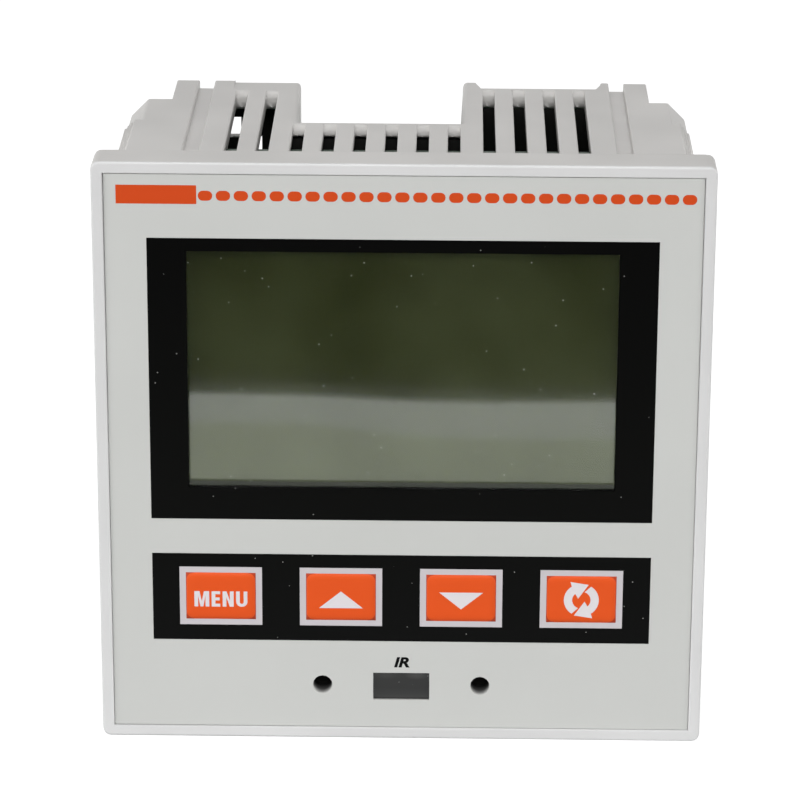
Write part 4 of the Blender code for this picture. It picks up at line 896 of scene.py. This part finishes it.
def socket_shade():
    """Painted shade inside a socket: light grey at the mouth, darkening to near black towards the socket's
    end.
    """
    made, tree, shader = start_material("socket_shade", (0.05, 0.05, 0.05))
    depth = place_node(tree, "ShaderNodeSeparateXYZ", {"Vector": object_place(tree)}).outputs["Y"]
    inward = map_range(tree, depth, (SHADE_MOUTH, SHADE_MOUTH + DARK_DEPTH))
    stops = ((0.0, (0.42, 0.42, 0.41)), (0.45, (0.09, 0.09, 0.088)), (1.0, (0.014, 0.014, 0.013)))
    tree.links.new(ramp_colour(tree, inward, stops), shader.inputs["Base Color"])
    shader.inputs["Roughness"].default_value = 0.7
    shader.inputs["Specular IOR Level"].default_value = 0.1
    return made


shade_shells = bmesh.new()
for place in SOCKET_PLACES:
    turned_ring(shade_shells, SHADE_PROFILE, place)
bmesh.ops.recalc_face_normals(shade_shells, faces=shade_shells.faces)
finish_piece("socket_painted_shade", shade_shells, socket_shade(), "case")

# Keys' works: an orange cap behind the foil for each key, on a tact switch with a steel cover and a black
# button. The caps slide with their keys, and the switches are soldered to the display's board.
dress(KEY_NODES, moulded("key_cap_plastic", (0.72, 0.09, 0.02), 0.5))
BLACK_PLASTIC = moulded("black_plastic", (0.02, 0.02, 0.02), 0.45)
dress(["switch_button_menu", "switch_button_up", "switch_button_down", "switch_button_page"], BLACK_PLASTIC)


def metal(name, colour, roughness):
    """Bare metal with the faint streaks of its rolling or turning."""
    made, tree, shader = start_material(name, colour)
    sizes = {"Grain Size": 0.15 * MM, "Drift Size": 3 * MM}
    grain = place_node(tree, "ShaderNodeGroup", sizes, node_tree=GRAIN)
    gloss = map_range(tree, grain.outputs["Drift"], (0.0, 1.0), (roughness - 0.1, roughness + 0.12))
    tree.links.new(gloss, shader.inputs["Roughness"])
    add_bump(tree, shader, grain.outputs["Height"], 0.3, 0.004 * MM)
    shader.inputs["Base Color"].default_value = (*colour, 1.0)
    shader.inputs["Metallic"].default_value = 1.0
    return made


STEEL = metal("zinc_plated_steel", (0.60, 0.60, 0.58), 0.32)
dress(["switch_menu", "switch_up", "switch_down", "switch_page"], STEEL)


# Boards: glass-fibre laminate under green resist, with the copper tracks showing through it a shade lighter.
# The display's board is screwed to the bezel's bosses. Chips, coils and capacitors are soldered to them.
def circuit_board():
    """Green resist over tracks that run round one another."""
    made, tree, shader = start_material("circuit_board", (0.01, 0.10, 0.03))
    pad_spacing, tracks_round, track_share = 3.2 * MM, 6.0, 0.28
    pads = place_node(
        tree,
        "ShaderNodeTexVoronoi",
        {"Vector": object_place(tree), "Scale": 1 / pad_spacing},
        distance="MANHATTAN",
    )
    rounds = calculate(tree, "MULTIPLY", pads.outputs["Distance"], tracks_round)
    tracks = calculate(tree, "LESS_THAN", calculate(tree, "FRACT", rounds), track_share)
    resist = mix_colours(tree, tracks, (0.004, 0.035, 0.012, 1.0), (0.010, 0.080, 0.026, 1.0))
    tree.links.new(resist, shader.inputs["Base Color"])
    add_bump(tree, shader, tracks, 0.5, 0.03 * MM)
    shader.inputs["Roughness"].default_value = 0.35
    return made


dress(["display_board", "main_board", "terminal_board"], circuit_board())
dress(numbered("board_screw", 4), STEEL)
dress(["processor_chip", "measuring_chip", "board_socket", "board_plug", "expansion_socket"], BLACK_PLASTIC)
dress(["transformer_core"], moulded("ferrite", (0.05, 0.05, 0.055), 0.7, relief=0.03 * MM))
dress(["transformer_coil"], moulded("coil_tape", (0.65, 0.48, 0.08), 0.35, drift=0.1))
dress(numbered("supply_capacitor", 2), moulded("capacitor_sleeve", (0.03, 0.035, 0.06), 0.3))

# Terminals: headers and a fixed block of green polyamide, with plated steel screws. Copper bars run from the
# fixed block through the taped rings of the current transformers.
TERMINAL_GREEN = moulded("terminal_polyamide", (0.015, 0.20, 0.07), 0.4, grain_size=0.2 * MM, drift=0.08)
dress(["supply_header", "voltage_header", "current_terminals"], TERMINAL_GREEN)
dress(numbered("terminal_screw", 6), STEEL)
dress(numbered("current_bar", 3), metal("copper", (0.72, 0.35, 0.20), 0.35))
dress(numbered("current_transformer", 3), moulded("toroid_tape", (0.62, 0.46, 0.10), 0.4, drift=0.12))


# Studio: a white paper table that ends a little in front of the instrument, with a second sheet on it, a
# white backdrop, and soft lamps to the sides and ahead. The sheets' far edges show only as the display's
# reflection.
TABLE_TOP = cad_box[0].z
CARD_TOP = TABLE_TOP + 0.2 * MM
SHEET_HALF = 2.5
EDGE_STEPS = 80
EDGE_STEP = 0.0025
DIP_SPREAD = 0.012


def lay_sheet(name, finish, level, near, far, dip, dip_place):
    """A sheet on the table between two distances ahead of the front; its far edge dips towards the right."""
    places = [EDGE_STEP * (step - EDGE_STEPS / 2) for step in range(EDGE_STEPS + 1)]
    front = []
    for across in [-SHEET_HALF, *places, SHEET_HALF]:
        share = 0.5 + 0.5 * math.tanh((across - dip_place) / DIP_SPREAD)
        front.append((across, cad_box[0].y - far + dip * share, level))
    back = [(SHEET_HALF, cad_box[0].y - near, level), (-SHEET_HALF, cad_box[0].y - near, level)]
    mesh = bpy.data.meshes.new(name)
    mesh.from_pydata(front + back, [], [tuple(range(len(front) + 2))])
    sheet = add_object(name, mesh)
    mesh.materials.append(finish)


PAPER_GLOW = 0.84


def table_paper(name, tint):
    """Matt paper that a lens sees as white, with the instrument's shadow; its tint shows in reflections."""
    made = bpy.data.materials.new(name)
    made.use_nodes = True
    tree = made.node_tree
    shader = tree.nodes["Principled BSDF"]
    shader.inputs["Base Color"].default_value = (0.36, 0.36, 0.36, 1.0)
    shader.inputs["Roughness"].default_value = 0.9
    shader.inputs["Specular IOR Level"].default_value = 0.0
    rays = place_node(tree, "ShaderNodeLightPath").outputs
    seen = calculate(tree, "MAXIMUM", rays["Is Camera Ray"], rays["Is Glossy Ray"])
    through = calculate(tree, "MAXIMUM", seen, rays["Is Transmission Ray"])
    lift = calculate(tree, "MULTIPLY", through, PAPER_GLOW)
    glow = mix_colours(tree, rays["Is Camera Ray"], (*tint, 1.0), (1.0, 1.0, 1.0, 1.0))
    tree.links.new(glow, shader.inputs["Emission Color"])
    tree.links.new(lift, shader.inputs["Emission Strength"])
    return made


table_finish = table_paper("table_paper", (1.51, 1.59, 1.56))
card_finish = table_paper("card_paper", (1.19, 1.30, 1.06))
lay_sheet("studio_table", table_finish, TABLE_TOP, near=-3.0, far=0.1655, dip=0.004, dip_place=-0.012)
lay_sheet("studio_card", card_finish, CARD_TOP, near=0.06, far=0.1475, dip=0.0088, dip_place=-0.009)


def mix_levels(tree, mask, first, second):
    """Blends two strengths by a mask. Each is a value or another node's output."""
    levels = {"Factor": mask, "A": first, "B": second}
    return place_node(tree, "ShaderNodeMix", levels, data_type="FLOAT").outputs["Result"]


def build_world():
    """Soft light, brighter towards the white backdrop, and a dark room low down ahead of the table."""
    world = bpy.data.worlds.new("studio")
    world.use_nodes = True
    bpy.context.scene.world = world
    tree = world.node_tree
    background = tree.nodes["Background"]
    direction = place_node(tree, "ShaderNodeTexCoord").outputs["Generated"]
    parts = place_node(tree, "ShaderNodeSeparateXYZ", {"Vector": direction}).outputs
    low = map_range(tree, parts["Z"], (0.12, -0.02))
    ahead = map_range(tree, parts["Y"], (-0.35, -0.6))
    room = calculate(tree, "MULTIPLY", low, ahead)
    backdrop = map_range(tree, parts["Y"], (0.1, 0.8), (0.19, 0.77))
    light = mix_levels(tree, room, backdrop, 0.04)
    seen = place_node(tree, "ShaderNodeLightPath").outputs["Is Camera Ray"]
    tree.links.new(mix_levels(tree, seen, light, 1.0), background.inputs["Strength"])
    background.inputs["Color"].default_value = (1.0, 1.0, 1.0, 1.0)


build_world()


def softbox(name, place, size, power):
    """A square area lamp that faces the instrument's middle."""
    lamp = bpy.data.lights.new(name, "AREA")
    lamp.shape = "RECTANGLE"
    lamp.size, lamp.size_y = size
    lamp.energy = power
    holder = add_object(name, lamp)
    holder.location = place
    holder.rotation_mode = "QUATERNION"
    holder.rotation_quaternion = Vector(place).to_track_quat("Z", "Y")


softbox("softbox_left", (-0.98, -0.52, 0.31), (0.6, 0.6), 7.0)
softbox("softbox_right", (0.98, -0.52, 0.31), (0.6, 0.6), 4.8)
softbox("softbox_front", (0.0, -1.12, 0.84), (0.7, 0.5), 10.6)

# Camera: the photograph's own view, found from the front's square and the housing's edges. It looks down at
# the front from about 0.6 m, through a long lens.
CAMERA_TURN = math.radians(0.821)
CAMERA_RISE = math.radians(19.511)
CAMERA_ROLL = math.radians(0.270)
CAMERA_DISTANCE = 595.03 * MM
CAMERA_SIDE = -0.359 * MM
CAMERA_LIFT = 9.288 * MM
FACE_TO_MIDDLE = 30.5 * MM
across = Vector((math.cos(CAMERA_TURN), math.sin(CAMERA_TURN), 0.0))
above = Vector(
    (
        -math.sin(CAMERA_TURN) * math.sin(CAMERA_RISE),
        math.cos(CAMERA_TURN) * math.sin(CAMERA_RISE),
        math.cos(CAMERA_RISE),
    )
)
ahead = Vector(
    (
        -math.sin(CAMERA_TURN) * math.cos(CAMERA_RISE),
        math.cos(CAMERA_TURN) * math.cos(CAMERA_RISE),
        -math.sin(CAMERA_RISE),
    )
)
rolled_across = math.cos(CAMERA_ROLL) * across + math.sin(CAMERA_ROLL) * above
rolled_above = -math.sin(CAMERA_ROLL) * across + math.cos(CAMERA_ROLL) * above
camera_data = bpy.data.cameras.new("camera")
camera_data.sensor_width = 36.0
camera_data.lens = 170.70
camera = add_object("camera", camera_data)
stand = CAMERA_SIDE * rolled_across + CAMERA_LIFT * rolled_above - CAMERA_DISTANCE * ahead
stand.y -= FACE_TO_MIDDLE
turn = Matrix((rolled_across, rolled_above, -ahead)).transposed().to_4x4()
camera.matrix_world = Matrix.Translation(stand) @ turn
bpy.context.scene.camera = camera
bpy.context.scene.view_settings.view_transform = "Standard"
